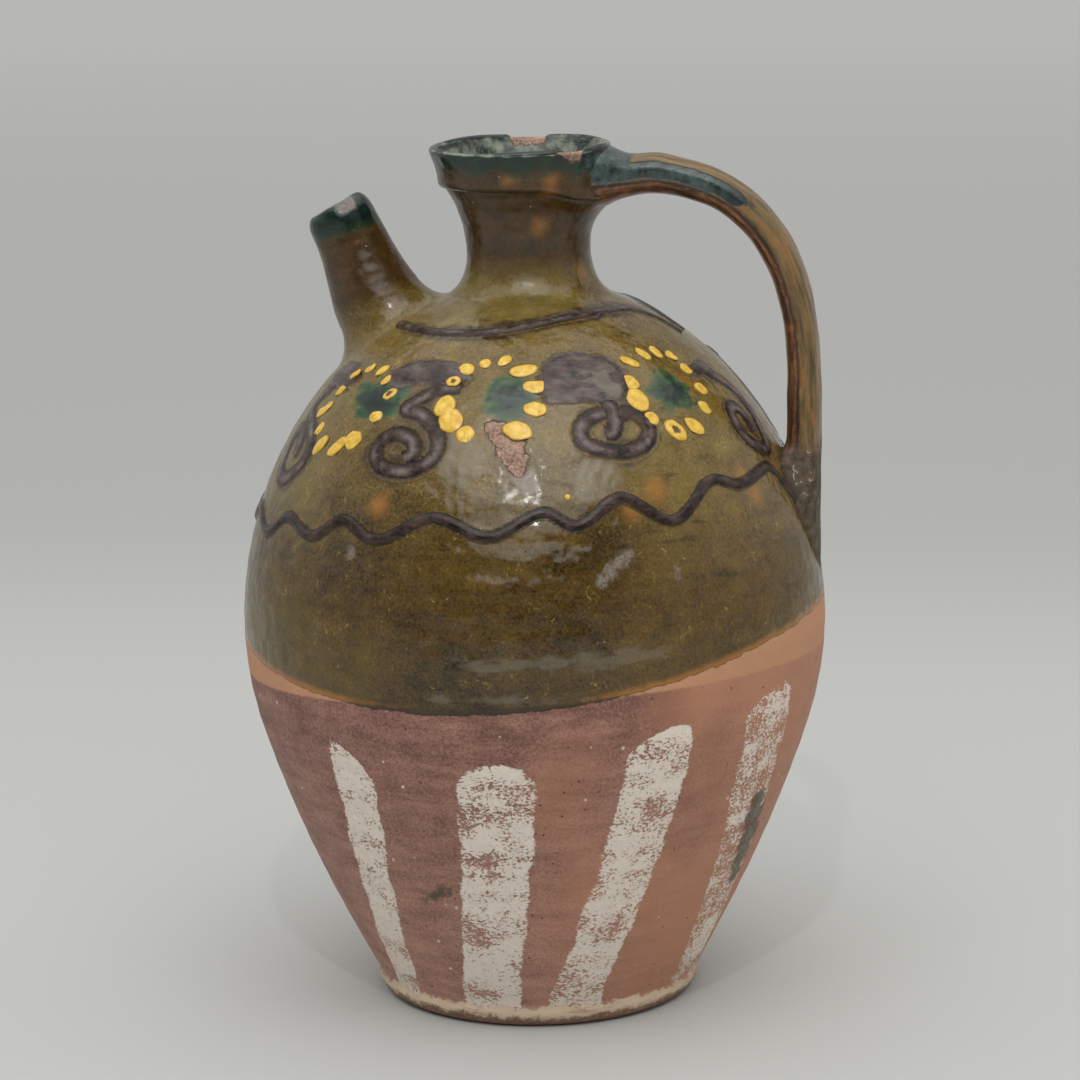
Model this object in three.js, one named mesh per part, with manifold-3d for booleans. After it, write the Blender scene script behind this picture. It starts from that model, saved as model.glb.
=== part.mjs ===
// A hand-thrown earthenware pitcher: a body thrown in two halves, a collared neck, a pouring spout
// and a loop handle, each luted to its neighbour, with lines of slip trailed over the shoulder.
// Millimetres, +Z up. The origin is the middle of the foot. The spout points to -X, the handle to +X.
import * as THREE from "three";
import { mergeVertices } from "three/addons/utils/BufferGeometryUtils.js";
import Module from "manifold-3d";

const wasm = await Module();
wasm.setup();

// Foot and lower body
const FOOT_RADIUS = 57.3;
const FOOT_HEIGHT = 8;
const FOOT_ROUND = 2.5;
const FOOT_GROOVE = 0.5; // how far the wall draws in above the foot
const FLOOR_THICKNESS = 10;
const LOWER_WALL_BULGE = 2.9; // fullness of the lower wall over a straight cone

// Belly and shoulder
const BELLY_RADIUS = 102.3;
const BELLY_HEIGHT = 135; // height of the widest line
const BELLY_DROP = 112; // upright half axis of the curve below the widest line
const SEAM_BELOW_BELLY = 35; // the two thrown halves meet this far below the widest line
const SHOULDER_RISE = 118; // upright half axis of the curve above the widest line
const SHOULDER_POWER = 1.9; // a little fuller than an ellipse, which is 2
const BODY_WALL = 6.5;

// Neck and collared rim
const NECK_BASE_RADIUS = 25.7;
const NECK_WAIST_RADIUS = 21.3;
const NECK_WAIST_RISE = 14.5; // height of the waist above the shoulder
const NECK_TOP_RADIUS = 28.3;
const NECK_HEIGHT = 36.5;
const NECK_WALL = 4.5;
const COLLAR_HEIGHT = 14.5;
const COLLAR_STEP = 1.6; // how far the collar stands out over the neck
const COLLAR_FLARE = 3.2; // how much wider the collar is at the rim
const RIM_WALL = 4.4;
const COLLAR_PRESS = 4.8; // the rim is pushed in by this much where the handle was pressed on

// Spout
const SPOUT_FROM_NECK = 24; // from the neck's base to the middle of the spout
const SPOUT_TILT = THREE.MathUtils.degToRad(25);
const SPOUT_LENGTH = 42;
const SPOUT_BASE_RADIUS = 16;
const SPOUT_TIP_RADIUS = 11.2;
const SPOUT_WALL = 4.2;
const SPOUT_FILLET = 5.5; // width of the smeared clay around its foot
const SPOUT_FILLET_RISE = 9;
const SPOUT_FOOT_EDGE = 1.2; // thickness of that smear at its edge
const SPOUT_BEVEL = THREE.MathUtils.degToRad(14); // the mouth leans outward by this much more than the spout
const POUR_HOLE_RADIUS = 8;

// Handle
const HANDLE_INSET = 7.2; // its centre line runs this far inside the belly's widest line
const HANDLE_WIDTH = 20;
const HANDLE_THICKNESS = 10.8;
const HANDLE_ROOT_DROP = 10.8; // from the rim down to the centre line where the handle leaves the collar
const HANDLE_BEND_ABOVE_BELLY = 80; // where the arch has turned upright
const HANDLE_TAIL_ABOVE_BELLY = 29; // where its pressed-down tail ends
const HANDLE_ARCH_OUT = 0.72; // shares of the arch's width and height that shape its curve
const HANDLE_ARCH_DOWN = 0.77;
const ROOT_EXTRA_WIDTH = 14; // the root and the lower join spread out
const ROOT_EXTRA_THICKNESS = 5;
const ROOT_SPREAD = 18;
const JOIN_EXTRA_WIDTH = 6;
const TAIL_WIDTH = 9;
const JOIN_SHARE = 0.45; // share of the upright stretch over which it spreads, before it tapers to the tail

// Trailed slip
const TRAIL_HALF_WIDTH = 2.1;
const TRAIL_RISE = 1.4;
const TRAIL_CLEARANCE = 4; // kept between a trail and the spout or handle
const WAVE_ABOVE_BELLY = 47.5;
const WAVE_HEIGHT = 3; // half the height from trough to crest
const WAVE_COUNT = 17; // if it ran all the way round
const WAVE_PHASE = THREE.MathUtils.degToRad(-54.5);
const WAVE_DRIFT = 8.7; // the line climbs from the spout side to the handle side
const SWAG_FROM_NECK = 16.5;
const SWAG_SWING = 4.4; // it hangs lower beside the spout and climbs towards the handle
const SWAG_TURN = THREE.MathUtils.degToRad(250);
const SWAG_END = THREE.MathUtils.degToRad(80);
const SCROLL_HALF_HEIGHT = 10;
const SCROLL_HEART = 1.7; // radius of the coil's inner end
const SCROLL_STRETCH = 1.35; // coils are wider than they are tall
const SCROLL_TURNS = 1.3;
const SCROLL_STEM = 13; // how far the stem rises
const STEM_LEAN = 0.8; // share of the coil's half width by which the stem leans back over it
// Each front scroll's drop below the foot of the neck, and its degrees round from the front.
// They were placed by eye, so no two are level. The back has the same scrolls at mirrored places.
const SCROLL_1_DROP = 49;
const SCROLL_2_DROP = 45;
const SCROLL_3_DROP = 41;
const SCROLL_4_DROP = 44;
const SCROLLS = [
  { degrees: -65, drop: SCROLL_1_DROP },
  { degrees: -25, drop: SCROLL_2_DROP },
  { degrees: 27, drop: SCROLL_3_DROP },
  { degrees: 71, drop: SCROLL_4_DROP },
];

// Luted and trailed pieces stand this far off what they are pressed on: the thickness of the slip between.
const LUTE_GAP = 0.3;

// Facets round each piece, and steps along each outline or path
const BODY_SIDES = 48;
const NECK_SIDES = 40;
const SPOUT_SIDES = 24;
const HANDLE_SIDES = 14;
const TRAIL_SIDES = 4;
const FOOT_STEPS = 3;
const WALL_STEPS = 8;
const BELLY_STEPS = 3;
const SHOULDER_STEPS = 11;
const NECK_STEPS = 9;
const LIP_STEPS = 5;
const FILLET_STEPS = 4;
const SPOUT_STEPS = 5;
const SOLE_STEPS = 3;
const HANDLE_STEPS = 26;
const STEPS_PER_WAVE = 8;
const SWAG_STEPS = 24;
const COIL_STEPS = 22;
const STEM_STEPS = 6;

// Places that follow from the sizes above
const SEAM_HEIGHT = BELLY_HEIGHT - SEAM_BELOW_BELLY;
const WALL_FOOT_RADIUS = FOOT_RADIUS - FOOT_GROOVE;
const MOUTH_RADIUS = NECK_BASE_RADIUS - NECK_WALL;
const NECK_SEAT = shoulderHeight(NECK_BASE_RADIUS);
const COLLAR_BASE = NECK_SEAT + NECK_HEIGHT;
const RIM_HEIGHT = COLLAR_BASE + COLLAR_HEIGHT;

const up = new THREE.Vector3(0, 0, 1);

// Radius of the belly and shoulder at a height. A positive inset gives the inside of the wall.
function bellyRadius(height, inset = 0) {
  const above = height > BELLY_HEIGHT;
  const halfAxis = (above ? SHOULDER_RISE : BELLY_DROP) - inset;
  const power = above ? SHOULDER_POWER : 2;
  const share = Math.min(Math.abs(height - BELLY_HEIGHT) / halfAxis, 1);
  return (BELLY_RADIUS - inset) * Math.sqrt(1 - share ** power);
}

// Radius of the whole body at a height, from the foot up.
function wallRadius(height, inset = 0) {
  if (height >= SEAM_HEIGHT) return bellyRadius(height, inset);
  const share = (height - FOOT_HEIGHT) / (SEAM_HEIGHT - FOOT_HEIGHT);
  const cone = THREE.MathUtils.lerp(WALL_FOOT_RADIUS - inset, bellyRadius(SEAM_HEIGHT, inset), share);
  return cone + 4 * LOWER_WALL_BULGE * share * (1 - share);
}

// Height of the shoulder's outside at a radius.
function shoulderHeight(radius) {
  return BELLY_HEIGHT + SHOULDER_RISE * (1 - (radius / BELLY_RADIUS) ** 2) ** (1 / SHOULDER_POWER);
}

// Radius of the neck between the shoulder and the collar.
function neckRadius(height, inset = 0) {
  const rise = height - NECK_SEAT - NECK_WAIST_RISE;
  const widest = rise < 0 ? NECK_BASE_RADIUS : NECK_TOP_RADIUS;
  const reach = rise < 0 ? NECK_WAIST_RISE : NECK_HEIGHT - NECK_WAIST_RISE;
  return NECK_WAIST_RADIUS + (widest - NECK_WAIST_RADIUS) * (rise / reach) ** 2 - inset;
}

// A point on the body's outside. Angle 0 faces -Y and a positive angle turns towards the handle.
function wallPoint(angle, height) {
  const radius = wallRadius(height);
  return new THREE.Vector3(radius * Math.sin(angle), -radius * Math.cos(angle), height);
}

function wallNormal(point) {
  const step = 0.5;
  const slope = (wallRadius(point.z + step) - wallRadius(point.z - step)) / (2 * step);
  const outward = new THREE.Vector3(point.x, point.y, 0).normalize();
  return outward.addScaledVector(up, -slope).normalize();
}

// Where a line through a point, along a direction that leaves the body, meets its outside.
function meetWall(point, direction) {
  let inside = -BELLY_RADIUS / 2;
  let outside = BELLY_RADIUS / 2;
  const place = new THREE.Vector3();
  for (let i = 0; i < 40; i++) {
    const middle = (inside + outside) / 2;
    place.copy(point).addScaledVector(direction, middle);
    if (Math.hypot(place.x, place.y) < wallRadius(place.z)) inside = middle;
    else outside = middle;
  }
  return place;
}

// Even samples of a function from 0 to 1, both ends included.
function sample(count, make) {
  return Array.from({ length: count + 1 }, (_, i) => make(i / count));
}

const smooth = (value, low, high) => THREE.MathUtils.smoothstep(value, low, high);
const lerp = THREE.MathUtils.lerp;

// A body turned about Z from an outline of (radius, height) points, listed anticlockwise.
function turned(outline, sides) {
  return new THREE.LatheGeometry(outline, sides).rotateX(Math.PI / 2);
}

// A skin over rings of points. A closed loft joins its last ring to its first, and an open one has flat ends.
function loft(rings, closed) {
  const sides = rings[0].length;
  const points = rings.flat();
  const triangles = [];
  const spans = closed ? rings.length : rings.length - 1;
  for (let i = 0; i < spans; i++) {
    const here = i * sides;
    const next = ((i + 1) % rings.length) * sides;
    for (let j = 0; j < sides; j++) {
      const k = (j + 1) % sides;
      triangles.push(here + j, here + k, next + k, here + j, next + k, next + j);
    }
  }
  if (!closed) {
    const last = (rings.length - 1) * sides;
    for (let j = 1; j < sides - 1; j++) {
      triangles.push(0, j + 1, j, last, last + j, last + j + 1);
    }
  }
  const geometry = new THREE.BufferGeometry().setFromPoints(points);
  return geometry.setIndex(triangles);
}

// Boolean cuts
function toSolid(geometry) {
  const bare = geometry.clone();
  bare.deleteAttribute("normal");
  bare.deleteAttribute("uv");
  const merged = mergeVertices(bare, 1e-4);
  const vertProperties = merged.attributes.position.array;
  const triVerts = new Uint32Array(merged.index.array);
  return new wasm.Manifold(new wasm.Mesh({ numProp: 3, vertProperties, triVerts }));
}

function toGeometry(solid) {
  const mesh = solid.getMesh();
  const geometry = new THREE.BufferGeometry();
  geometry.setAttribute("position", new THREE.BufferAttribute(mesh.vertProperties, 3));
  return geometry.setIndex(new THREE.BufferAttribute(mesh.triVerts, 1));
}

// Outlines of the turned pieces
function shoulderOutline(inset, topRadius, count) {
  const turn = Math.acos(topRadius / (BELLY_RADIUS - inset));
  return sample(count, (share) => {
    const angle = share * turn;
    const rise = (SHOULDER_RISE - inset) * Math.sin(angle) ** (2 / SHOULDER_POWER);
    return new THREE.Vector2((BELLY_RADIUS - inset) * Math.cos(angle), BELLY_HEIGHT + rise);
  });
}

function wallOutline(low, high, inset, count) {
  return sample(count, (share) => {
    const height = lerp(low, high, share);
    return new THREE.Vector2(wallRadius(height, inset), height);
  });
}

function footOutline() {
  const shape = new THREE.Path();
  shape.moveTo(0, 0);
  shape.lineTo(FOOT_RADIUS - FOOT_ROUND, 0);
  shape.absarc(FOOT_RADIUS - FOOT_ROUND, FOOT_ROUND, FOOT_ROUND, -Math.PI / 2, 0, false);
  shape.lineTo(FOOT_RADIUS, FOOT_HEIGHT - FOOT_GROOVE);
  return shape.getPoints(FOOT_STEPS);
}

function lowerBody() {
  const outside = [...footOutline(), ...wallOutline(FOOT_HEIGHT, SEAM_HEIGHT, 0, WALL_STEPS)];
  const inside = wallOutline(FLOOR_THICKNESS, SEAM_HEIGHT, BODY_WALL, WALL_STEPS).reverse();
  return turned([...outside, ...inside, new THREE.Vector2(0, FLOOR_THICKNESS)], BODY_SIDES);
}

const spoutAxis = new THREE.Vector3(-Math.sin(SPOUT_TILT), 0, Math.cos(SPOUT_TILT));
const spoutAside = new THREE.Vector3(-Math.cos(SPOUT_TILT), 0, -Math.sin(SPOUT_TILT));
const spoutAcross = new THREE.Vector3().crossVectors(spoutAxis, spoutAside);
const spoutRadius = NECK_BASE_RADIUS + SPOUT_FROM_NECK;
const spoutRoot = new THREE.Vector3(-spoutRadius, 0, shoulderHeight(spoutRadius));

function upperBody() {
  const outside = [
    ...wallOutline(SEAM_HEIGHT, BELLY_HEIGHT, 0, BELLY_STEPS),
    ...shoulderOutline(0, NECK_BASE_RADIUS, SHOULDER_STEPS).slice(1),
  ];
  const inside = [
    ...wallOutline(SEAM_HEIGHT, BELLY_HEIGHT, BODY_WALL, BELLY_STEPS),
    ...shoulderOutline(BODY_WALL, MOUTH_RADIUS, SHOULDER_STEPS).slice(1),
    new THREE.Vector2(MOUTH_RADIUS, NECK_SEAT),
  ];
  const shell = turned([...outside, ...inside.reverse(), outside[0]], BODY_SIDES);
  const drill = new THREE.CylinderGeometry(POUR_HOLE_RADIUS, POUR_HOLE_RADIUS, 6 * BODY_WALL, SPOUT_SIDES);
  drill.applyQuaternion(new THREE.Quaternion().setFromUnitVectors(new THREE.Vector3(0, 1, 0), spoutAxis));
  drill.translate(...spoutRoot);
  return toGeometry(toSolid(shell).subtract(toSolid(drill)));
}

// The neck's outside, from the shoulder to the foot of the rim's round lip.
function neckOutside() {
  const collarRadius = NECK_TOP_RADIUS + COLLAR_STEP;
  const lip = RIM_WALL / 2;
  return [
    ...sample(NECK_STEPS, (share) => {
      const height = NECK_SEAT + share * NECK_HEIGHT;
      return new THREE.Vector2(neckRadius(height), height);
    }),
    new THREE.Vector2(collarRadius, COLLAR_BASE + COLLAR_STEP),
    new THREE.Vector2(collarRadius + COLLAR_FLARE, RIM_HEIGHT - lip),
  ];
}

function neck() {
  const outside = neckOutside();
  const edge = outside[outside.length - 1];
  const lip = RIM_WALL / 2;
  const round = sample(LIP_STEPS, (share) => {
    const angle = Math.PI * share;
    return new THREE.Vector2(edge.x - lip + lip * Math.cos(angle), edge.y + lip * Math.sin(angle));
  });
  const inside = sample(NECK_STEPS, (share) => {
    const height = COLLAR_BASE - share * NECK_HEIGHT;
    return new THREE.Vector2(neckRadius(height, NECK_WALL), height);
  });
  return pressed(turned([...outside, ...round.slice(1), ...inside, outside[0]], NECK_SIDES));
}

// Pushes the handle's side of the collar inwards, from nothing below it to the full press at the rim.
function pressed(geometry) {
  const place = geometry.attributes.position;
  for (let i = 0; i < place.count; i++) {
    const rise = smooth(place.getZ(i), COLLAR_BASE - COLLAR_HEIGHT / 2, RIM_HEIGHT);
    const facing = Math.max(place.getX(i), 0) / (Math.hypot(place.getX(i), place.getY(i)) + LUTE_GAP);
    place.setX(i, place.getX(i) - COLLAR_PRESS * rise * facing ** 2);
  }
  return geometry;
}

// Solids that fill the body and the neck, a slip's thickness proud, to trim what is luted on them.
function bodyEnvelope() {
  const outside = [
    ...wallOutline(FOOT_HEIGHT, BELLY_HEIGHT, -LUTE_GAP, WALL_STEPS + BELLY_STEPS),
    ...shoulderOutline(-LUTE_GAP, NECK_BASE_RADIUS, SHOULDER_STEPS).slice(1),
  ];
  const top = outside[outside.length - 1].y;
  return [new THREE.Vector2(0, FOOT_HEIGHT), ...outside, new THREE.Vector2(0, top)];
}

function neckEnvelope() {
  const proud = neckOutside().map((point) => new THREE.Vector2(point.x + LUTE_GAP, point.y));
  const low = NECK_SEAT - BODY_WALL;
  return [
    new THREE.Vector2(0, low),
    new THREE.Vector2(proud[0].x, low),
    ...proud,
    new THREE.Vector2(proud[proud.length - 1].x, RIM_HEIGHT + BODY_WALL),
    new THREE.Vector2(0, RIM_HEIGHT + BODY_WALL),
  ];
}

// The spout is a tapered tube whose foot is smeared out over the shoulder.
// A ring of it has a radius, a rise along the spout and a hold: 1 follows the shoulder, 0 the slanted mouth.
function spoutRing(radius, rise, hold) {
  return sample(SPOUT_SIDES, (share) => {
    const angle = share * 2 * Math.PI;
    const place = spoutRoot.clone();
    place.addScaledVector(spoutAside, radius * Math.cos(angle));
    place.addScaledVector(spoutAcross, radius * Math.sin(angle));
    const seat = meetWall(place, spoutAxis).sub(place).dot(spoutAxis);
    const slant = -radius * Math.cos(angle) * Math.tan(SPOUT_BEVEL);
    return place.addScaledVector(spoutAxis, rise + lerp(slant, seat, hold));
  }).slice(0, -1);
}

function spout() {
  const footRadius = SPOUT_BASE_RADIUS + SPOUT_FILLET;
  const lip = SPOUT_WALL / 2;
  const boreFoot = POUR_HOLE_RADIUS + LUTE_GAP;
  const fillet = sample(FILLET_STEPS, (share) => {
    const angle = share * (Math.PI / 2);
    const radius = footRadius - SPOUT_FILLET * Math.sin(angle);
    const rise = lerp(SPOUT_FOOT_EDGE, SPOUT_FILLET_RISE, 1 - Math.cos(angle));
    return spoutRing(radius, rise, 1);
  });
  const tube = sample(SPOUT_STEPS, (share) => {
    const radius = lerp(SPOUT_BASE_RADIUS, SPOUT_TIP_RADIUS, share);
    const rise = lerp(SPOUT_FILLET_RISE, SPOUT_LENGTH - lip, share);
    return spoutRing(radius, rise, 1 - smooth(share, 0, 1));
  });
  const mouth = [
    spoutRing(SPOUT_TIP_RADIUS - lip, SPOUT_LENGTH, 0),
    spoutRing(SPOUT_TIP_RADIUS - SPOUT_WALL, SPOUT_LENGTH - lip, 0),
  ];
  const bore = sample(SPOUT_STEPS, (share) => {
    const radius = lerp(SPOUT_TIP_RADIUS - SPOUT_WALL, boreFoot, share);
    const rise = lerp(SPOUT_LENGTH - lip, LUTE_GAP, share);
    return spoutRing(radius, rise, smooth(share, 0, 1));
  });
  const sole = sample(SOLE_STEPS, (share) => spoutRing(lerp(boreFoot, footRadius, share), LUTE_GAP, 1));
  return loft([...fillet, ...tube.slice(1), ...mouth, ...bore.slice(1), ...sole.slice(1)], true);
}

// The handle's centre line: out of the collar, over an arch, and straight down on to the shoulder.
function handleLine() {
  const reach = BELLY_RADIUS - HANDLE_INSET;
  const rootHeight = RIM_HEIGHT - HANDLE_ROOT_DROP;
  const bendHeight = BELLY_HEIGHT + HANDLE_BEND_ABOVE_BELLY;
  const start = new THREE.Vector2(NECK_WAIST_RADIUS, rootHeight);
  const bend = new THREE.Vector2(reach, bendHeight);
  const line = new THREE.CurvePath();
  line.add(
    new THREE.CubicBezierCurve(
      start,
      new THREE.Vector2(lerp(start.x, reach, HANDLE_ARCH_OUT), rootHeight),
      new THREE.Vector2(reach, lerp(bendHeight, rootHeight, HANDLE_ARCH_DOWN)),
      bend,
    ),
  );
  line.add(new THREE.LineCurve(bend, new THREE.Vector2(reach, BELLY_HEIGHT + HANDLE_TAIL_ABOVE_BELLY)));
  return line;
}

function handleRing(line, share) {
  const centre = line.getPointAt(share);
  const along = line.getTangentAt(share);
  const fromCollar = centre.x - NECK_TOP_RADIUS - COLLAR_STEP;
  const root = 1 - smooth(fromCollar, 0, ROOT_SPREAD);
  const upright = HANDLE_BEND_ABOVE_BELLY - HANDLE_TAIL_ABOVE_BELLY;
  const lowered = (BELLY_HEIGHT + HANDLE_BEND_ABOVE_BELLY - centre.y) / upright;
  const join = smooth(lowered, 0, JOIN_SHARE);
  const tail = smooth(lowered, JOIN_SHARE, 1);
  const spread = HANDLE_WIDTH + ROOT_EXTRA_WIDTH * root + JOIN_EXTRA_WIDTH * join;
  const width = lerp(spread, TAIL_WIDTH, tail);
  const thickness = HANDLE_THICKNESS + ROOT_EXTRA_THICKNESS * root;
  return sample(HANDLE_SIDES, (turn) => {
    const angle = turn * 2 * Math.PI;
    const off = (thickness / 2) * Math.cos(angle);
    const side = (width / 2) * Math.sin(angle);
    return new THREE.Vector3(centre.x - along.y * off, -side, centre.y + along.x * off);
  }).slice(0, -1);
}

function handle() {
  const line = handleLine();
  const rings = sample(HANDLE_STEPS, (share) => handleRing(line, share));
  const trimmed = toSolid(loft(rings, false))
    .subtract(toSolid(pressed(turned(neckEnvelope(), NECK_SIDES))))
    .subtract(toSolid(turned(bodyEnvelope(), BODY_SIDES)));
  return toGeometry(trimmed);
}

// A half-round bead of slip along points that lie on the body's outside.
function trail(points) {
  const rings = points.map((point, i) => {
    const normal = wallNormal(point);
    const ahead = points[Math.min(i + 1, points.length - 1)];
    const behind = points[Math.max(i - 1, 0)];
    const along = ahead.clone().sub(behind).normalize();
    const side = new THREE.Vector3().crossVectors(normal, along).normalize();
    return sample(TRAIL_SIDES, (share) => {
      const angle = share * Math.PI;
      const place = point.clone().addScaledVector(side, TRAIL_HALF_WIDTH * Math.cos(angle));
      return place.addScaledVector(normal, LUTE_GAP + TRAIL_RISE * Math.sin(angle));
    });
  });
  return loft(rings, false);
}

// The wavy line round the belly starts at one side of the handle and ends at the other.
function bellyWave() {
  const halfGap = (HANDLE_WIDTH + JOIN_EXTRA_WIDTH) / 2 + TRAIL_HALF_WIDTH + TRAIL_CLEARANCE;
  const handleAngle = Math.PI / 2;
  const gap = Math.asin(halfGap / bellyRadius(BELLY_HEIGHT + WAVE_ABOVE_BELLY));
  const points = sample(WAVE_COUNT * STEPS_PER_WAVE, (share) => {
    const angle = lerp(handleAngle + gap, handleAngle + 2 * Math.PI - gap, share);
    const drift = WAVE_DRIFT * Math.sin(angle);
    const wave = WAVE_HEIGHT * Math.sin(WAVE_COUNT * angle + WAVE_PHASE);
    return wallPoint(angle, BELLY_HEIGHT + WAVE_ABOVE_BELLY + drift + wave);
  });
  return trail(points);
}

// A swag lies round the neck from beside the spout to near the handle. Side 1 is the front, -1 the back.
function swag(side) {
  const radius = NECK_BASE_RADIUS + SWAG_FROM_NECK;
  const keepOff = SPOUT_BASE_RADIUS + SPOUT_FILLET + TRAIL_HALF_WIDTH + TRAIL_CLEARANCE;
  const start = Math.asin(Math.min(keepOff / radius, 1)) - Math.PI / 2;
  const points = sample(SWAG_STEPS, (share) => {
    const angle = lerp(start, SWAG_END, share);
    const place = radius + SWAG_SWING * Math.cos(SWAG_TURN * share);
    return new THREE.Vector3(place * Math.sin(angle), -side * place * Math.cos(angle), shoulderHeight(place));
  });
  return trail(points);
}

// A scroll is a flattened coil of slip with a stem that rises from it, drawn on the shoulder about an angle.
function scroll(angle, drop) {
  const middle = wallPoint(angle, NECK_SEAT - drop);
  const normal = wallNormal(middle);
  const east = new THREE.Vector3().crossVectors(up, normal).normalize();
  const north = new THREE.Vector3().crossVectors(normal, east);
  const onWall = (a, b) => {
    const flat = middle.clone().addScaledVector(east, a).addScaledVector(north, b);
    return meetWall(flat, normal);
  };
  const coil = sample(COIL_STEPS, (share) => {
    const turn = 2 * Math.PI * SCROLL_TURNS * (share - 1);
    const radius = lerp(SCROLL_HEART, SCROLL_HALF_HEIGHT, share);
    return onWall(SCROLL_STRETCH * radius * Math.cos(turn), radius * Math.sin(turn));
  });
  const side = SCROLL_STRETCH * SCROLL_HALF_HEIGHT;
  const stem = sample(STEM_STEPS, (share) => {
    const lean = STEM_LEAN * share ** 2;
    return onWall(side * (1 - lean), SCROLL_STEM * share);
  });
  return trail([...coil, ...stem.slice(1)]);
}

// Finishes
const terracotta = new THREE.MeshStandardMaterial({ color: 0x8f5a49, roughness: 0.85, metalness: 0 });
const oliveGlaze = new THREE.MeshStandardMaterial({ color: 0x5d4c20, roughness: 0.25, metalness: 0 });
const brownSlip = new THREE.MeshStandardMaterial({ color: 0x43322f, roughness: 0.3, metalness: 0 });

const pitcher = new THREE.Group();

function addPiece(name, geometry, material) {
  const piece = new THREE.Mesh(geometry, material);
  piece.name = name;
  pitcher.add(piece);
}

addPiece("lower_body", lowerBody(), terracotta);
addPiece("upper_body", upperBody(), oliveGlaze);
addPiece("neck", neck(), oliveGlaze);
addPiece("spout", spout(), oliveGlaze);
addPiece("handle", handle(), oliveGlaze);
addPiece("belly_wave", bellyWave(), brownSlip);
addPiece("swag_front", swag(1), brownSlip);
addPiece("swag_back", swag(-1), brownSlip);
SCROLLS.forEach(({ degrees, drop }, i) => {
  const angle = THREE.MathUtils.degToRad(degrees);
  addPiece(`scroll_front_${i + 1}`, scroll(angle, drop), brownSlip);
  addPiece(`scroll_back_${i + 1}`, scroll(Math.PI - angle, drop), brownSlip);
});

export default pitcher;
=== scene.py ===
"""The looks of a hand-thrown earthenware pitcher, on the frame of its packed construction."""

import math

import bpy
import numpy as np
from mathutils import Matrix, Vector, noise


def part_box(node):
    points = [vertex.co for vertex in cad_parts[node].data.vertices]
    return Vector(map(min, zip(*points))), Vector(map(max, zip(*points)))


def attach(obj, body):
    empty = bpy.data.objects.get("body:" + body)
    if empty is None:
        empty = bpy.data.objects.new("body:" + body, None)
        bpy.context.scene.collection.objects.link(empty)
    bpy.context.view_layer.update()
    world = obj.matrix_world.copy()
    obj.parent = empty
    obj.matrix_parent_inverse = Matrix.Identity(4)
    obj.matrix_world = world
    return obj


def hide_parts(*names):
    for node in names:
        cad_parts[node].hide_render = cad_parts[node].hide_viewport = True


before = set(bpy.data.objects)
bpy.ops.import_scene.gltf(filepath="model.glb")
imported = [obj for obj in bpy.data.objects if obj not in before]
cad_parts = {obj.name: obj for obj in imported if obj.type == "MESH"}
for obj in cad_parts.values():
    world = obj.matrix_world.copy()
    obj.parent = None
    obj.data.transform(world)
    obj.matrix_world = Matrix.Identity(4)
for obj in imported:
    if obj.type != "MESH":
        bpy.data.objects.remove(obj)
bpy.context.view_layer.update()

# Lengths are in millimetres until a mesh is made. They are the construction's own sizes, apart from the spout's
# worn lip and the handle's smeared tail, and the frame gives the places of the joints.
MM = 0.001


def frame_edge(node, end, axis):
    """One side of a node's box in the frame."""
    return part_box(node)[end][axis] / MM


SEAM_HEIGHT = frame_edge("lower_body", 1, 2)
BELLY_RADIUS = frame_edge("upper_body", 1, 0)
NECK_SEAT = frame_edge("upper_body", 1, 2)
RIM_HEIGHT = frame_edge("neck", 1, 2)
FOOT_RADIUS = 57.3
FOOT_HEIGHT = 8.0
FOOT_GROOVE = 0.5
FLOOR_THICKNESS = 10.0
LOWER_WALL_BULGE = 2.9
BELLY_HEIGHT = 135.0
BELLY_DROP = 112.0
SHOULDER_RISE = 118.0
SHOULDER_POWER = 1.9
BODY_WALL = 6.5
NECK_BASE_RADIUS = 25.7
NECK_WAIST_RADIUS = 21.3
NECK_WAIST_RISE = 14.5
NECK_TOP_RADIUS = 28.3
NECK_HEIGHT = 36.5
NECK_WALL = 4.5
NECK_SKIRT_RADIUS = 33.5
COLLAR_BASE = NECK_SEAT + NECK_HEIGHT
COLLAR_STEP = 1.6
COLLAR_FLARE = 3.2
COLLAR_PRESS = 4.8
SPOUT_ROOT_RADIUS = 49.7
SPOUT_TILT = math.radians(25)
SPOUT_BEVEL = math.radians(5)
SPOUT_LENGTH = 45.2
SPOUT_BASE_RADIUS = 16.0
SPOUT_TIP_RADIUS = 11.8
SPOUT_WALL = 4.2
SPOUT_FILLET = 7.5
SPOUT_FILLET_RISE = 10.0
POUR_HOLE_RADIUS = 8.0
HANDLE_ROOT_HEIGHT = RIM_HEIGHT - 10.8
HANDLE_REACH = BELLY_RADIUS - 7.2
HANDLE_BEND_HEIGHT = BELLY_HEIGHT + 80
HANDLE_TAIL_HEIGHT = BELLY_HEIGHT + 14
HANDLE_WIDTH = 20.0
HANDLE_THICKNESS = 10.8

# Places on the wall are (azimuth, height): degrees from the front towards the handle, and millimetres.
# The back of the jug carries the front's ornament mirrored.
SCROLLS = [(-62.5, 200), (-23.4, 204.5), (28.3, 210.6), (73.1, 206)]
FLOWERS = [(-47.6, 215.6), (-3.4, 222.1), (50.5, 221.2)]

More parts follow.
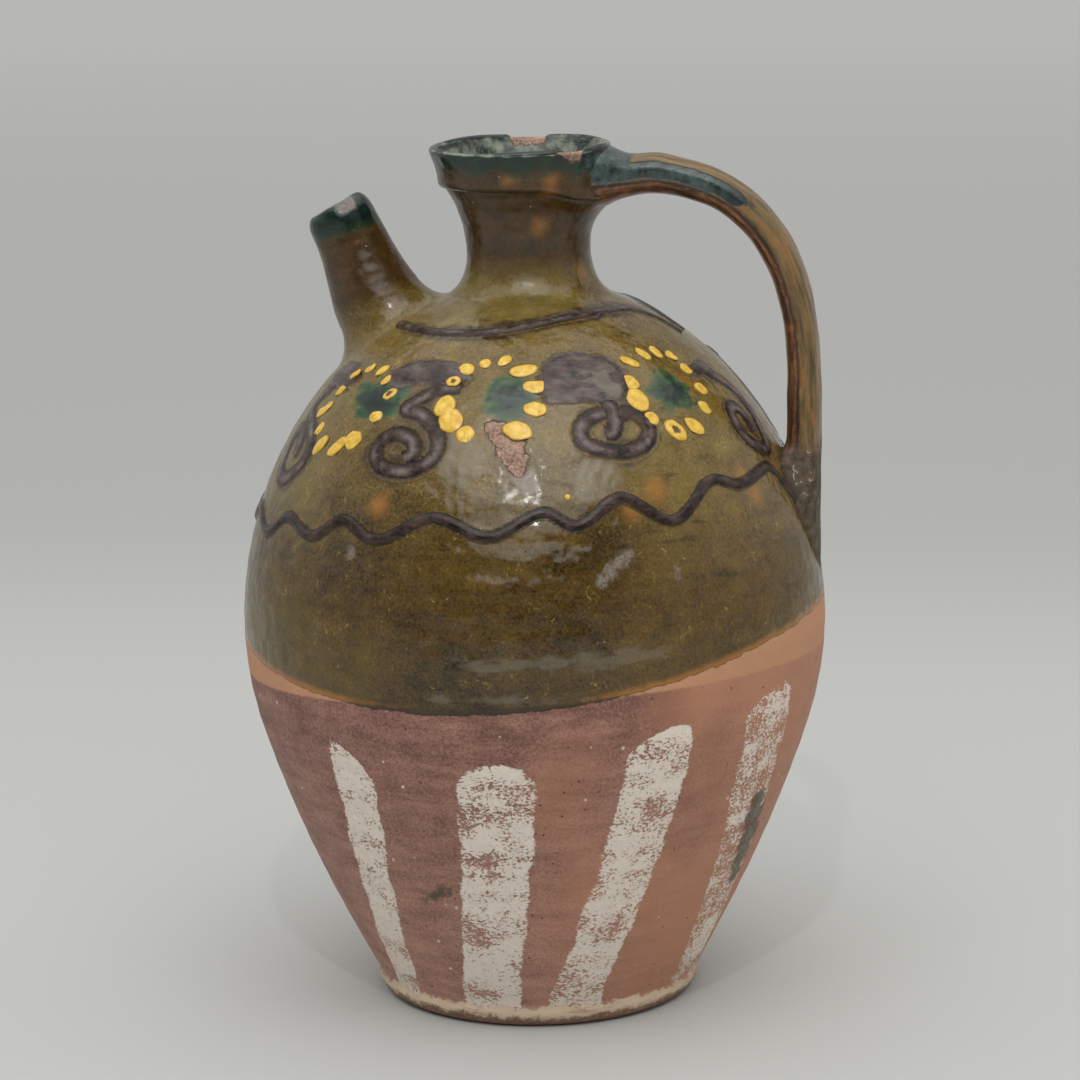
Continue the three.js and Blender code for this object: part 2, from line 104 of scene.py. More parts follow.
# Each petal: its clock angle in the flower, its distance from the middle, its length, its width and how far it
# leans up from level.
PETALS = [
    [
        (14, 16, 5.5, 3, 45), (38, 15, 4, 3, 50), (67, 17, 5, 3.2, 40), (99, 15.5, 5, 4, 10),
        (139, 16, 6.5, 6, 20), (164, 16, 8.5, 4.2, 45), (198, 17, 8, 4.5, 50), (226, 16, 5.5, 3.5, 60),
        (256, 16.5, 8, 4, 50), (289, 14, 5, 3.5, 50), (318, 15.5, 5, 3, 45), (344, 16, 4.5, 3, 40),
    ],
    [
        (11, 15, 4.8, 3.2, 50), (44, 14.6, 8.5, 4.5, 12), (76, 15, 7.2, 4.5, 0), (110, 16, 6.8, 5, -8),
        (144, 16.7, 9, 5.6, -15), (203, 16.4, 5.6, 5.4, 40), (229, 15.7, 8, 7, -70), (252, 15.8, 7.5, 6.5, 80),
        (289, 14.7, 4.6, 3.8, 0), (315, 15, 5.2, 4.4, -20), (342, 14, 3.8, 3.6, 70),
    ],
    [
        (20, 16.6, 5.4, 3.6, -80), (44, 18, 4.8, 3.4, -60), (66, 16, 5, 3.8, -45), (98, 15.3, 5.6, 4, -40),
        (130, 14.5, 5, 4.4, -50), (172, 15.5, 7.5, 5, -35), (202, 17, 8, 5.6, -55), (232, 16.8, 4.8, 4.4, -40),
        (260, 15.4, 8.4, 6.6, -75), (287, 15, 6, 5, -50), (324, 16, 6.6, 3.4, -35), (356, 16, 6, 3.4, -60),
    ],
]

# Petals with a dab of brown in them: which flower, and which of its petals.
BROWN_DABS = {(0, 2), (1, 8), (2, 6)}

# The strokes each scroll is drawn with, as millimetres across and up from its coil's middle.
LONG_STROKE = [
    (3, 30), (-4, 24), (-8, 18), (-8, 13), (-1, 9), (7, 4.5), (10.5, -1), (8.5, -7), (2.5, -12), (-4.5, -12),
    (-9, -8), (-11, 0), (-9, 5), (-3, 4.5), (0.5, 0), (0, -4),
]
HOOKED_STROKE = [
    (13.5, 25.5), (5, 23.5), (-2.5, 18), (-4.5, 15), (1, 14), (7.5, 10), (11.8, 4.2), (11.5, -1.5),
    (7.5, -5.6), (1, -7.4), (-6.3, -6.2), (-10.7, -1.8), (-9.2, 3.4), (-4, 5.6), (2, 3.8), (4, -0.4),
    (1.4, -3),
]
RING_STROKE = [
    (-1.8, 7.3), (-7.7, 5), (-11.3, 0.6), (-10, -3.9), (-4.6, -6.7), (2.5, -8), (9.5, -5.8), (13, -1.2),
    (11.8, 3.5), (7.4, 6.3), (3.4, 5.4),
]
STEM_STROKE = [(-3.5, 19), (-0.5, 14.3), (1.5, 8.7), (1.8, 3.5), (-0.3, -0.6), (-3, -0.8)]
LOOP_STROKE = [
    (-4.5, 26), (1.4, 21), (8.6, 15), (11.4, 6.6), (10.5, -2), (8.6, -8.2), (4, -10), (-2.4, -6.5), (-6, -1),
    (-5.5, 5), (-2, 7.4), (1.8, 6), (3, 1.8), (3.4, -3),
]
STROKES = [[LONG_STROKE], [HOOKED_STROKE], [RING_STROKE, STEM_STROKE], [LOOP_STROKE]]

# Smeared slip on the scrolls: which scroll, the middle across and up from its coil's, half length and half height.
SMEARS = [
    (0, -1, 29.5, 12, 5.5), (1, -3, 31, 16, 5.8), (2, -5.5, 22, 16, 11), (3, -4, 25, 8, 3.6),
]

# Green hearts of the flowers: middle, half length and half height.
HEARTS = [((-38.5, 218.7), 14, 7.5), ((2, 221.3), 8.6, 8.4), ((50.7, 220.3), 9.6, 8)]

# Crests and troughs of the wavy line on the front, from the spout's side to the handle.
WAVE_TURNS = [
    (-74, 177), (-62, 171.2), (-52.5, 178.7), (-42.3, 174.8), (-34, 181.6), (-25.2, 176.6), (-12.4, 184.9),
    (-1.2, 179.6), (10.4, 187), (16.5, 182.4), (26.6, 190.5), (37.3, 182), (50.7, 192.6), (58.6, 189.7),
    (72.3, 192.5), (82.3, 178.7),
]

# Azimuth and radius along the swag of slip round the foot of the neck.
SWAG_TURNS = [
    (-66, 46.3), (-48, 46.8), (-28, 46.8), (-8, 45.2), (10, 41.8), (28, 38.6), (48, 36.8), (66, 37.4),
    (78, 41), (84, 46.5), (86.5, 53),
]

# White stripes: azimuth at the top, azimuth at the foot, height of the top, width, how much has worn away, how far
# the top leans up to one side, and how round the top is.
STRIPES = [
    (-31.5, -44.5, 104, 17, 0.2, -6, 0.7), (0.3, -9, 104.5, 26, 0.33, 0, 0.8),
    (32.5, 20, 113.5, 23.5, 0.35, 3.5, 0.4), (60, 70, 121, 25, 0.65, 4, 0.5), (95, 103, 117, 22, 0.4, -2, 0.6),
    (126, 133, 112, 24, 0.3, 2, 0.8), (157, 161, 115, 20, 0.5, -3, 0.5), (188, 187, 110, 25, 0.35, 0, 0.8),
    (219, 213, 113, 21, 0.3, 3, 0.5), (249, 242, 118, 24, 0.55, -2, 0.8), (277, 268, 114, 22, 0.4, 2, 0.6),
]

# Soft orange spots, matt scuffs, dirty smudges, patches of painted sheen and the places where the glaze has flaked,
# each as azimuth, height and radius. The stray drop of yellow slip is given in the same way.
RUST_SPOTS = [
    (-25.7, 187.6, 3.4), (60.7, 191.2, 3.6), (63.2, 185.4, 3), (35.2, 192.2, 3.8), (29, 186.8, 3),
    (54, 221, 6), (140, 190, 5), (205, 196, 5), (-95, 178, 5),
]
SCUFFS = [
    (26.6, 173, 2), (25, 170.8, 2.6), (23, 168, 2.7), (21, 165.2, 2), (36.3, 166.2, 1.3), (36.6, 164.4, 1.1),
    (-30.3, 172.6, 1.3), (-30.4, 170.6, 1.4), (5.6, 198.6, 3.6), (7, 195.8, 3), (150, 165, 3), (152, 168, 2.4),
    (215, 172, 2.4),
]
SMUDGES = [
    (-13.6, 55.6, 1.6), (-16, 54.4, 2.4), (-18.4, 52.6, 2.3), (-21, 50.6, 1.6), (65.4, 78, 4.6),
    (66.4, 71.5, 6), (67.6, 64, 6.6), (68.4, 56.5, 5.6), (69.6, 49.5, 4), (200, 60, 6),
]
# Patches of painted reflection, pale on the glaze; some of them paint a sheen over the third scroll's head.
PAINTED_SHEEN_PATCHES = [
    (22.6, 195.5, 8), (-9, 203, 9), (170, 200, 9), (31.6, 222.5, 3.4), (29.5, 226.5, 3), (24, 228, 2.4),
]
FLAKES = [
    (-1.4, 212, 3.6), (0.6, 211, 4.6), (2.8, 207.4, 5.6), (4, 203.4, 4.8), (5, 200, 2.6),
]
STRAY_DROP = (15.2, 191.6, 1.9)


def smooth(value, low, high):
    """A soft step from 0 at the low value to 1 at the high one."""
    share = np.clip((value - low) / (high - low), 0, 1)
    return share * share * (3 - 2 * share)


def between(low, high, share):
    return low + (high - low) * share


def azimuth_of(points):
    return np.degrees(np.arctan2(points[..., 0], -points[..., 1]))


def radius_of(points):
    return np.hypot(points[..., 0], points[..., 1])


def turn_from(middle, azimuth):
    """The shorter turn from one azimuth to others, in radians."""
    return np.radians((azimuth - middle + 180) % 360 - 180)


def belly_radius(height, inset=0.0):
    above = height > BELLY_HEIGHT
    half_axis = np.where(above, SHOULDER_RISE, BELLY_DROP) - inset
    share = np.minimum(np.abs(height - BELLY_HEIGHT) / half_axis, 1)
    return (BELLY_RADIUS - inset) * np.sqrt(1 - share ** np.where(above, SHOULDER_POWER, 2))


def wall_radius(height, inset=0.0):
    share = (height - FOOT_HEIGHT) / (SEAM_HEIGHT - FOOT_HEIGHT)
    cone = between(FOOT_RADIUS - FOOT_GROOVE - inset, belly_radius(np.float64(SEAM_HEIGHT), inset), share)
    lower = cone + 4 * LOWER_WALL_BULGE * share * (1 - share)
    return np.where(height < SEAM_HEIGHT, lower, belly_radius(height, inset))


def shoulder_height(radius):
    return BELLY_HEIGHT + SHOULDER_RISE * (1 - (radius / BELLY_RADIUS) ** 2) ** (1 / SHOULDER_POWER)


WALL_HEIGHTS = np.linspace(FOOT_HEIGHT, NECK_SEAT, 4000)
WALL_CLIMBS = np.append(0, np.cumsum(np.hypot(np.diff(WALL_HEIGHTS), np.diff(wall_radius(WALL_HEIGHTS)))))


def climb(height):
    """How far up the wall's outline a height lies, measured along the clay."""
    return np.interp(height, WALL_HEIGHTS, WALL_CLIMBS)


def hand(azimuth, height):
    """What the potter's hands left: the wall's slow swell and its faint throwing rings."""
    turn = np.radians(azimuth)
    swell = 0.32 * np.sin(2 * turn + 0.6 + height * 0.012) + 0.2 * np.sin(3 * turn - height * 0.028)
    rings = 0.05 * np.sin(height * 0.7 + turn) + 0.035 * np.sin(height * 0.43 - turn + 1.3)
    return (swell + rings) * smooth(height, 8, 30)


def on_wall(azimuth, height):
    """Points on the body's outside and the directions that point off it."""
    azimuth, height = np.broadcast_arrays(np.asarray(azimuth, float), np.asarray(height, float))
    turn = np.radians(azimuth)
    radius = wall_radius(height) + hand(azimuth, height)
    slope = wall_radius(height + 0.5) - wall_radius(height - 0.5)
    facing = np.stack([np.sin(turn), -np.cos(turn), np.zeros_like(turn)], -1)
    points = facing * radius[..., None] + height[..., None] * np.array([0, 0, 1])
    normals = facing - slope[..., None] * np.array([0, 0, 1])
    return points, normals / np.linalg.norm(normals, axis=-1, keepdims=True)


def beside(place, across, up):
    """The place that lies some millimetres across and up the wall from another."""
    height = np.interp(climb(place[1]) + up, WALL_CLIMBS, WALL_HEIGHTS)
    radius = (wall_radius(np.float64(place[1])) + wall_radius(height)) / 2
    return place[0] + np.degrees(across / radius), height


def offset_from(place, azimuth, height):
    """How far across and up the wall points lie from a place."""
    radius = (wall_radius(np.float64(place[1])) + wall_radius(height)) / 2
    return turn_from(place[0], azimuth) * radius, climb(height) - climb(place[1])


def mirrored(place):
    """The place on the back that mirrors one on the front."""
    return (180 - place[0], place[1])


def lumps(points, size):
    """Smooth noise from -1 to 1 with lumps about so many millimetres across."""
    flat = points.reshape(-1, 3) / size
    return np.array([noise.noise(Vector(point)) for point in flat]).reshape(points.shape[:-1])


def even_outline(outline, step):
    """The same outline with its points an even step apart."""
    outline = np.asarray(outline, float)
    along = np.append(0, np.cumsum(np.hypot(*np.diff(outline, axis=0).T)))
    places = np.linspace(0, along[-1], max(2, round(along[-1] / step) + 1))
    return np.stack([np.interp(places, along, outline[:, i]) for i in range(outline.shape[1])], -1)


def eased(points, steps):
    """A smooth line through points."""
    points = np.asarray(points, float)
    padded = np.vstack([2 * points[0] - points[1], points, 2 * points[-1] - points[-2]])
    share = np.linspace(0, 1, steps, endpoint=False)[:, None]
    line = []
    for a, b, c, d in zip(padded, padded[1:], padded[2:], padded[3:]):
        line.append(0.5 * (2 * b + (c - a) * share + (2 * a - 5 * b + 4 * c - d) * share ** 2
                           + (3 * b - a - 3 * c + d) * share ** 3))
    return np.vstack(line + [points[-1]])


def turned(outline, sides):
    """Rings of points from an outline of (radius, height), turned about the jug's middle."""
    turn = np.arange(sides) * (2 * np.pi / sides)
    radius, height = outline[:, :1], outline[:, 1:]
    return np.stack([radius * np.sin(turn), -radius * np.cos(turn), height + 0 * turn], -1)


def swollen(rings, swell):
    """Rings of points pushed out from the jug's middle."""
    rings[..., :2] *= (1 + swell / radius_of(rings))[..., None]
    return rings


SHARP_EDGE = math.radians(42)


def round_off(mesh):
    """Shades a mesh smooth, apart from its sharp edges."""
    mesh.shade_smooth()
    mesh.set_sharp_from_angle(angle=SHARP_EDGE)


def skin(name, rings, loop):
    """A closed mesh over rings of points. A loop joins its last ring to its first. Otherwise both ends are capped."""
    count, sides = rings.shape[:2]
    points = rings.reshape(-1, 3)
    index = np.arange(count * sides).reshape(count, sides)
    here = index if loop else index[:-1]
    above = np.roll(index, -1, 0) if loop else index[1:]
    faces = np.stack([here, np.roll(here, -1, 1), np.roll(above, -1, 1), above], -1).reshape(-1, 4).tolist()
    if not loop:
        middles = len(points)
        points = np.vstack([points, rings[0].mean(0), rings[-1].mean(0)])
        for a, b in zip(index[0].tolist(), np.roll(index[0], -1).tolist()):
            faces.append((middles, b, a))
        for a, b in zip(index[-1].tolist(), np.roll(index[-1], -1).tolist()):
            faces.append((middles + 1, a, b))
    mesh = bpy.data.meshes.new(name)
    mesh.from_pydata((points * MM).tolist(), [], faces)
    round_off(mesh)
    return mesh


def set_out(name, data):
    piece = bpy.data.objects.new(name, data)
    bpy.context.scene.collection.objects.link(piece)
    return piece


def places_of(mesh):
    flat = np.empty(3 * len(mesh.vertices), np.float32)
    mesh.vertices.foreach_get("co", flat)
    return flat.reshape(-1, 3).astype(float) / MM


def note(mesh, **notes):
    """Keeps a number or a direction with each point of a mesh."""
    for name, values in notes.items():
        values = np.asarray(values, np.float32)
        if values.ndim == 2:
            mesh.attributes.new(name, "FLOAT_VECTOR", "POINT").data.foreach_set("vector", values.ravel())
        else:
            values = np.broadcast_to(values, len(mesh.vertices)).copy()
            mesh.attributes.new(name, "FLOAT", "POINT").data.foreach_set("value", values)


MARKS = (
    "glazed", "browned", "washed", "striped", "stripe_wear", "greened", "blued", "smeared", "stained", "rusted",
    "scuffed", "painted_sheen", "flaked", "smudged", "wear_and_painted_light",
)
ALL_OVER = 30.0
FAR = -30.0
NOWHERE = -99.0


def mark(mesh, **marks):
    """Lays measured marks on a mesh's points, for the finishes to read. A mark that isn't given lies far off."""
    note(mesh, **{**dict.fromkeys(MARKS, FAR), **marks})


def plain(piece):
    """The piece as its modifiers make it, as a plain mesh."""
    evaluated = piece.evaluated_get(bpy.context.evaluated_depsgraph_get())
    mesh = bpy.data.meshes.new_from_object(evaluated)
    mesh.name = piece.name
    piece.modifiers.clear()
    piece.data = mesh
    return mesh


# Where each finish lies on the body, as millimetres inside its edge

def glaze_line(azimuth):
    """The height of the glaze's lower edge: lowest in front, highest below the handle."""
    turn = np.radians(azimuth)
    return 132.2 - 4.1 * np.cos(turn) + 5 * np.sin(turn) - 6 * np.cos(2 * turn) + 0.9 * np.sin(2 * turn)


def wash_line(azimuth):
    """The height of the wash's upper edge: highest between the front and the handle."""
    turn = np.radians(azimuth)
    return 122.2 + 3.2 * np.cos(turn) + 5.1 * np.sin(turn)


def stripe_depth(stripe, azimuth, height):
    """How deep points lie in a brushed stripe, which bends and narrows towards the foot."""
    top_azimuth, foot_azimuth, top, width, _, lean, roundness = stripe
    down = np.clip((top - height) / (top - FOOT_HEIGHT), 0, 1)
    middle = between(top_azimuth, foot_azimuth, down ** 1.7)
    across = turn_from(middle, azimuth) * wall_radius(height)
    half = width / 2 * between(1, 0.72, down ** 1.4)
    edge = top + lean * np.clip(across / half, -1, 1) - roundness * half
    return half - np.hypot(across, np.maximum(height - edge, 0) / roundness)


def spot_depth(spots, azimuth, height):
    """How deep points lie in round spots."""
    depth = np.full_like(azimuth, NOWHERE)
    for spot_azimuth, spot_height, radius in spots:
        across, up = offset_from((spot_azimuth, spot_height), azimuth, height)
        depth = np.maximum(depth, radius - np.hypot(across, up))
    return depth


def blob_depth(blobs, azimuth, height, squareness, sag):
    """How deep points lie in long blobs, on the front and mirrored on the back. Sag bends their ends down."""
    depth = np.full_like(azimuth, NOWHERE)
    for place, half_length, half_height in blobs:
        for middle in (place, mirrored(place)):
            across, up = offset_from(middle, azimuth, height)
            up = up + sag * across ** 2
            reach = np.abs(across / half_length) ** squareness + np.abs(up / half_height) ** squareness
            depth = np.maximum(depth, (1 - reach ** (1 / squareness)) * half_height)
    return depth


SMEAR_SQUARENESS = 2.6
SMEAR_SAG = 0.016
SMEAR_BY_NECK = ((38, shoulder_height(37.0)), 13, 2.6)


def smear_depth(azimuth, height):
    """How deep points lie in the slip smeared over the scrolls' heads and by the neck."""
    smears = [(beside(SCROLLS[number], across, up), *half) for number, across, up, *half in SMEARS]
    return blob_depth(smears + [SMEAR_BY_NECK], azimuth, height, SMEAR_SQUARENESS, SMEAR_SAG)


STAIN_REACH = 9
STAIN_BLEED = 0.9
TRAIL_HALF_WIDTH = 3.4


def stain_depth(points):
    """How deep points lie in the stain that bleeds from the trailed scrolls and swags."""
    depth = np.full(len(points), NOWHERE)
    for on_back in (False, True):
        runs = [swag_run(on_back)] + [run for number in range(4) for run in scroll_runs(number, on_back)]
        for azimuth, height, girth in runs:
            line = on_wall(azimuth, height)[0]
            near = ((points > line.min(0) - STAIN_REACH) & (points < line.max(0) + STAIN_REACH)).all(1)
            away = np.linalg.norm(points[near, None] - line, axis=2) - TRAIL_HALF_WIDTH * girth
            depth[near] = np.maximum(depth[near], STAIN_BLEED - away.min(1))
    return depth


def sheen_depth(azimuth, height):
    """Dull bands of painted reflection low on the belly: a broad one, broken near its middle, and a thin one below."""
    broad = np.minimum(2.2 - np.abs(height - 138.8 - 0.05 * azimuth), 7.4 - np.abs(azimuth - 14.8) * 0.4)
    broken = np.abs(azimuth - 14.5) * 0.5 - 0.6
    thin = np.minimum(0.7 - np.abs(height - 127), 4 - np.abs(azimuth + 2) * 0.4)
    return np.maximum(np.minimum(broad, broken), thin)


OUTSIDE_DEPTH = 2.5
PAINT_FOOT = 1
STRIPE_FOOT = 5


def body_marks(points):
    """The marks on both halves of the body. Their inside is glazed all over."""
    azimuth = azimuth_of(points)
    height = points[:, 2]
    outside = radius_of(points) > wall_radius(np.clip(height, FOOT_HEIGHT, NECK_SEAT)) - OUTSIDE_DEPTH
    painted = outside & (height > PAINT_FOOT)
    stripes = np.array([stripe_depth(stripe, azimuth, height) for stripe in STRIPES])
    torn = 1.5 * lumps(points, 13) + 0.9 * lumps(points, 5)
    wears = np.array([stripe[4] for stripe in STRIPES])
    # The pale patches and bands are painted reflection.
    pale = np.maximum(spot_depth(PAINTED_SHEEN_PATCHES, azimuth, height), sheen_depth(azimuth, height))
    on_outside = {
        "greened": blob_depth(HEARTS, azimuth, height, 2, 0),
        "smeared": smear_depth(azimuth, height),
        "stained": stain_depth(points),
        "rusted": spot_depth(RUST_SPOTS, azimuth, height),
        "scuffed": spot_depth(SCUFFS, azimuth, height),
        "painted_sheen": pale,
        "flaked": spot_depth(FLAKES, azimuth, height) + 1.8 * lumps(points, 2.6),
    }
    return {
        "glazed": np.where(outside, height - glaze_line(azimuth), ALL_OVER),
        "washed": np.where(painted, wash_line(azimuth) - height, FAR),
        "striped": np.where(painted & (height > STRIPE_FOOT), stripes.max(0) + torn, FAR),
        "stripe_wear": wears[stripes.argmax(0)],
        "smudged": np.where(painted, spot_depth(SMUDGES, azimuth, height), FAR),
        **{name: np.where(outside, depth, FAR) for name, depth in on_outside.items()},
    }


# The thrown body, in two halves

BODY_SIDES = 400
BODY_STEP = 1.7
SMEAR_RISE = 0.8
SMEAR_EDGE = 2.2
FLAKE_DEPTH = 0.75


def make_lower_body():
    foot = [
        (0.5, 2.2), (FOOT_RADIUS - 18, 1.6), (FOOT_RADIUS - 11, 0), (FOOT_RADIUS - 6.4, 0), (FOOT_RADIUS - 3.4, 1),
        (FOOT_RADIUS - 1.2, 3), (FOOT_RADIUS - 0.2, 5.4), (FOOT_RADIUS - 0.1, 7.2), (FOOT_RADIUS - 0.4, 8.6),
    ]
    heights = np.linspace(FOOT_HEIGHT + 1.6, SEAM_HEIGHT, 56)
    wall = np.stack([wall_radius(heights), heights], -1)
    inner_heights = np.linspace(SEAM_HEIGHT, FLOOR_THICKNESS + 6, 30)
    inner = np.stack([wall_radius(inner_heights, BODY_WALL), inner_heights], -1)
    inner_foot = wall_radius(np.float64(FLOOR_THICKNESS), BODY_WALL)
    floor = [(inner_foot - 1.2, FLOOR_THICKNESS + 2), (inner_foot - 5, FLOOR_THICKNESS), (0.5, FLOOR_THICKNESS)]
    outside = np.maximum(even_outline(eased(np.vstack([foot, wall[:1]]), 6), BODY_STEP), 0)
    rings = turned(np.vstack([outside, wall[1:], inner, even_outline(floor, 6)]), BODY_SIDES)
    last_wall = len(outside) + len(wall) - 1
    swell = hand(azimuth_of(rings), rings[..., 2])
    swell[last_wall:] = 0
    mesh = skin("lower_body_clay", swollen(rings, swell), False)
    mark(mesh, **body_marks(places_of(mesh)))
    return set_out("lower_body_clay", mesh)


SPOUT_ROOT = np.array([-SPOUT_ROOT_RADIUS, 0, shoulder_height(SPOUT_ROOT_RADIUS)])
SPOUT_AXIS = np.array([-math.sin(SPOUT_TILT), 0, math.cos(SPOUT_TILT)])
SPOUT_ASIDE = np.array([-math.cos(SPOUT_TILT), 0, -math.sin(SPOUT_TILT)])
SPOUT_ACROSS = np.cross(SPOUT_AXIS, SPOUT_ASIDE)
SPOUT_SIDES = 112
WALL_SEARCH_STEPS = 40
DRILL_REACH = 24
DRILL_SIDES = 40


def spout_ring(radius, rise, hold, sides=SPOUT_SIDES):
    """A ring round the spout. A full hold keeps its rise above the wall, and none keeps it along the bevelled mouth."""
    turn = np.arange(sides) * (2 * np.pi / sides)
    uneven = radius * (1 + 0.012 * np.sin(2 * turn + 0.5))
    ring = SPOUT_ROOT + np.outer(uneven * np.cos(turn), SPOUT_ASIDE) + np.outer(uneven * np.sin(turn), SPOUT_ACROSS)
    inside = np.full(sides, -BELLY_RADIUS / 2)
    outside = np.full(sides, BELLY_RADIUS / 2)
    for _ in range(WALL_SEARCH_STEPS):
        middle = (inside + outside) / 2
        tried = ring + np.outer(middle, SPOUT_AXIS)
        within = radius_of(tried) < wall_radius(tried[:, 2]) + hand(azimuth_of(tried), tried[:, 2])
        inside = np.where(within, middle, inside)
        outside = np.where(within, outside, middle)
    slant = -radius * np.cos(turn) * math.tan(SPOUT_BEVEL)
    return ring + np.outer(rise + between(slant, inside, hold), SPOUT_AXIS)


def make_upper_body():
    heights = np.linspace(SEAM_HEIGHT, NECK_SEAT, 3000)
    outside = even_outline(np.stack([wall_radius(heights), heights], -1), BODY_STEP)
    azimuth = np.arange(BODY_SIDES) * (360 / BODY_SIDES)
    points, normals = on_wall(azimuth[None, :], outside[:, 1:])
    flat = points.reshape(-1, 3)
    marks = body_marks(flat)
    slip = SMEAR_RISE * smooth(marks["smeared"] + 0.9 * lumps(flat, 5), 0, SMEAR_EDGE)
    flake = -FLAKE_DEPTH * smooth(marks["flaked"], -0.3, 0.7)
    dents = 0.05 * lumps(flat, 9)
    points = points + normals * (slip + flake + dents).reshape(points.shape[:2])[..., None]
    points[0] = on_wall(azimuth, SEAM_HEIGHT)[0]
    mouth = NECK_BASE_RADIUS - NECK_WALL
    inner_heights = np.linspace(NECK_SEAT - BODY_WALL * 0.95, SEAM_HEIGHT, 1000)
    inner = np.stack([wall_radius(inner_heights, BODY_WALL), inner_heights], -1)
    inner = even_outline(np.vstack([[(mouth, NECK_SEAT)], inner[inner[:, 0] > mouth]]), 5)
    mesh = skin("upper_body_clay", np.concatenate([points, turned(inner, BODY_SIDES)]), True)
    piece = set_out("upper_body_clay", mesh)
    ends = (-DRILL_REACH, DRILL_REACH)
    drill_rings = np.stack([spout_ring(POUR_HOLE_RADIUS, rise, 0, DRILL_SIDES) for rise in ends])
    drill = set_out("pour_hole_drill", skin("pour_hole_drill", drill_rings, False))
    cut = piece.modifiers.new("pour hole", "BOOLEAN")
    cut.object = drill
    mesh = plain(piece)
    bpy.data.objects.remove(drill)
    round_off(mesh)
    mark(mesh, **body_marks(places_of(mesh)))
    return piece


# The neck with its collared rim

NECK_SIDES = 240
LIP_RADIUS = 1.5
WAIST_HEIGHT = NECK_SEAT + NECK_WAIST_RISE
SKIRT_HEIGHT = shoulder_height(NECK_SKIRT_RADIUS) - 0.5


def neck_radius(height, inset=0.0):
    rise = height - WAIST_HEIGHT
    widest = np.where(rise < 0, NECK_BASE_RADIUS, NECK_TOP_RADIUS)
    reach = np.where(rise < 0, NECK_WAIST_RISE, NECK_HEIGHT - NECK_WAIST_RISE)
    return NECK_WAIST_RADIUS + (widest - NECK_WAIST_RADIUS) * (rise / reach) ** 2 - inset


def neck_outline():
    """The neck's outside from the skirt that feathers on to the shoulder up to the rim's round lip."""
    heights = np.linspace(SKIRT_HEIGHT, COLLAR_BASE - 0.8, 50)
    share = np.maximum(WAIST_HEIGHT - heights, 0) / (WAIST_HEIGHT - SKIRT_HEIGHT)
    spread = NECK_SKIRT_RADIUS - neck_radius(np.float64(SKIRT_HEIGHT))
    stem = np.stack([neck_radius(heights) + spread * share ** 6, heights], -1)
    collar = NECK_TOP_RADIUS + COLLAR_STEP
    step = [
        (collar - 2.2, COLLAR_BASE - 0.5), (collar - 0.6, COLLAR_BASE - 0.2), (collar + 0.3, COLLAR_BASE + 0.6),
        (collar + 0.4, COLLAR_BASE + 1.8), (collar + 0.4, COLLAR_BASE + 4),
    ]
    return np.vstack([stem, step, [(collar + COLLAR_FLARE, RIM_HEIGHT - LIP_RADIUS)]])


NECK_OUTLINE = neck_outline()


PRESS_FOOT = COLLAR_BASE - 7.25
COLLAR_SAG = 3.2


def pressed(points):
    """The collar as the handle's root pushed it in, with its lower edge smeared down beside the root."""
    points = points.copy()
    height = points[..., 2].copy()
    radius = radius_of(points)
    facing = np.maximum(points[..., 0], 0) / (radius + 0.3)
    turned_away = np.degrees(np.arccos(np.clip(points[..., 0] / (radius + 0.01), -1, 1)))
    edge = smooth(height, COLLAR_BASE - 8, COLLAR_BASE - 0.5) * (1 - smooth(height, COLLAR_BASE + 1, COLLAR_BASE + 9))
    points[..., 0] -= COLLAR_PRESS * smooth(height, PRESS_FOOT, RIM_HEIGHT) * facing ** 2
    points[..., 2] -= COLLAR_SAG * edge * (1 - smooth(turned_away, 40, 78))
    return points


COLLAR_SPOTS = [
    (-4.5, COLLAR_BASE + 4.5, 1.5), (22.5, COLLAR_BASE + 4, 1.8), (21.5, COLLAR_BASE + 0.2, 1.2),
    (17, COLLAR_BASE - 12, 2), (60, COLLAR_BASE - 28, 1.8), (150, COLLAR_BASE + 4, 1.8), (215, WAIST_HEIGHT + 4, 2),
]
HANDLE_SIDE = 90
BACK_FLAKE = 188
FRONT_FLAKE = 34
BLUE_SMEAR = 72
BROWN_FOOT = NECK_SEAT + 9


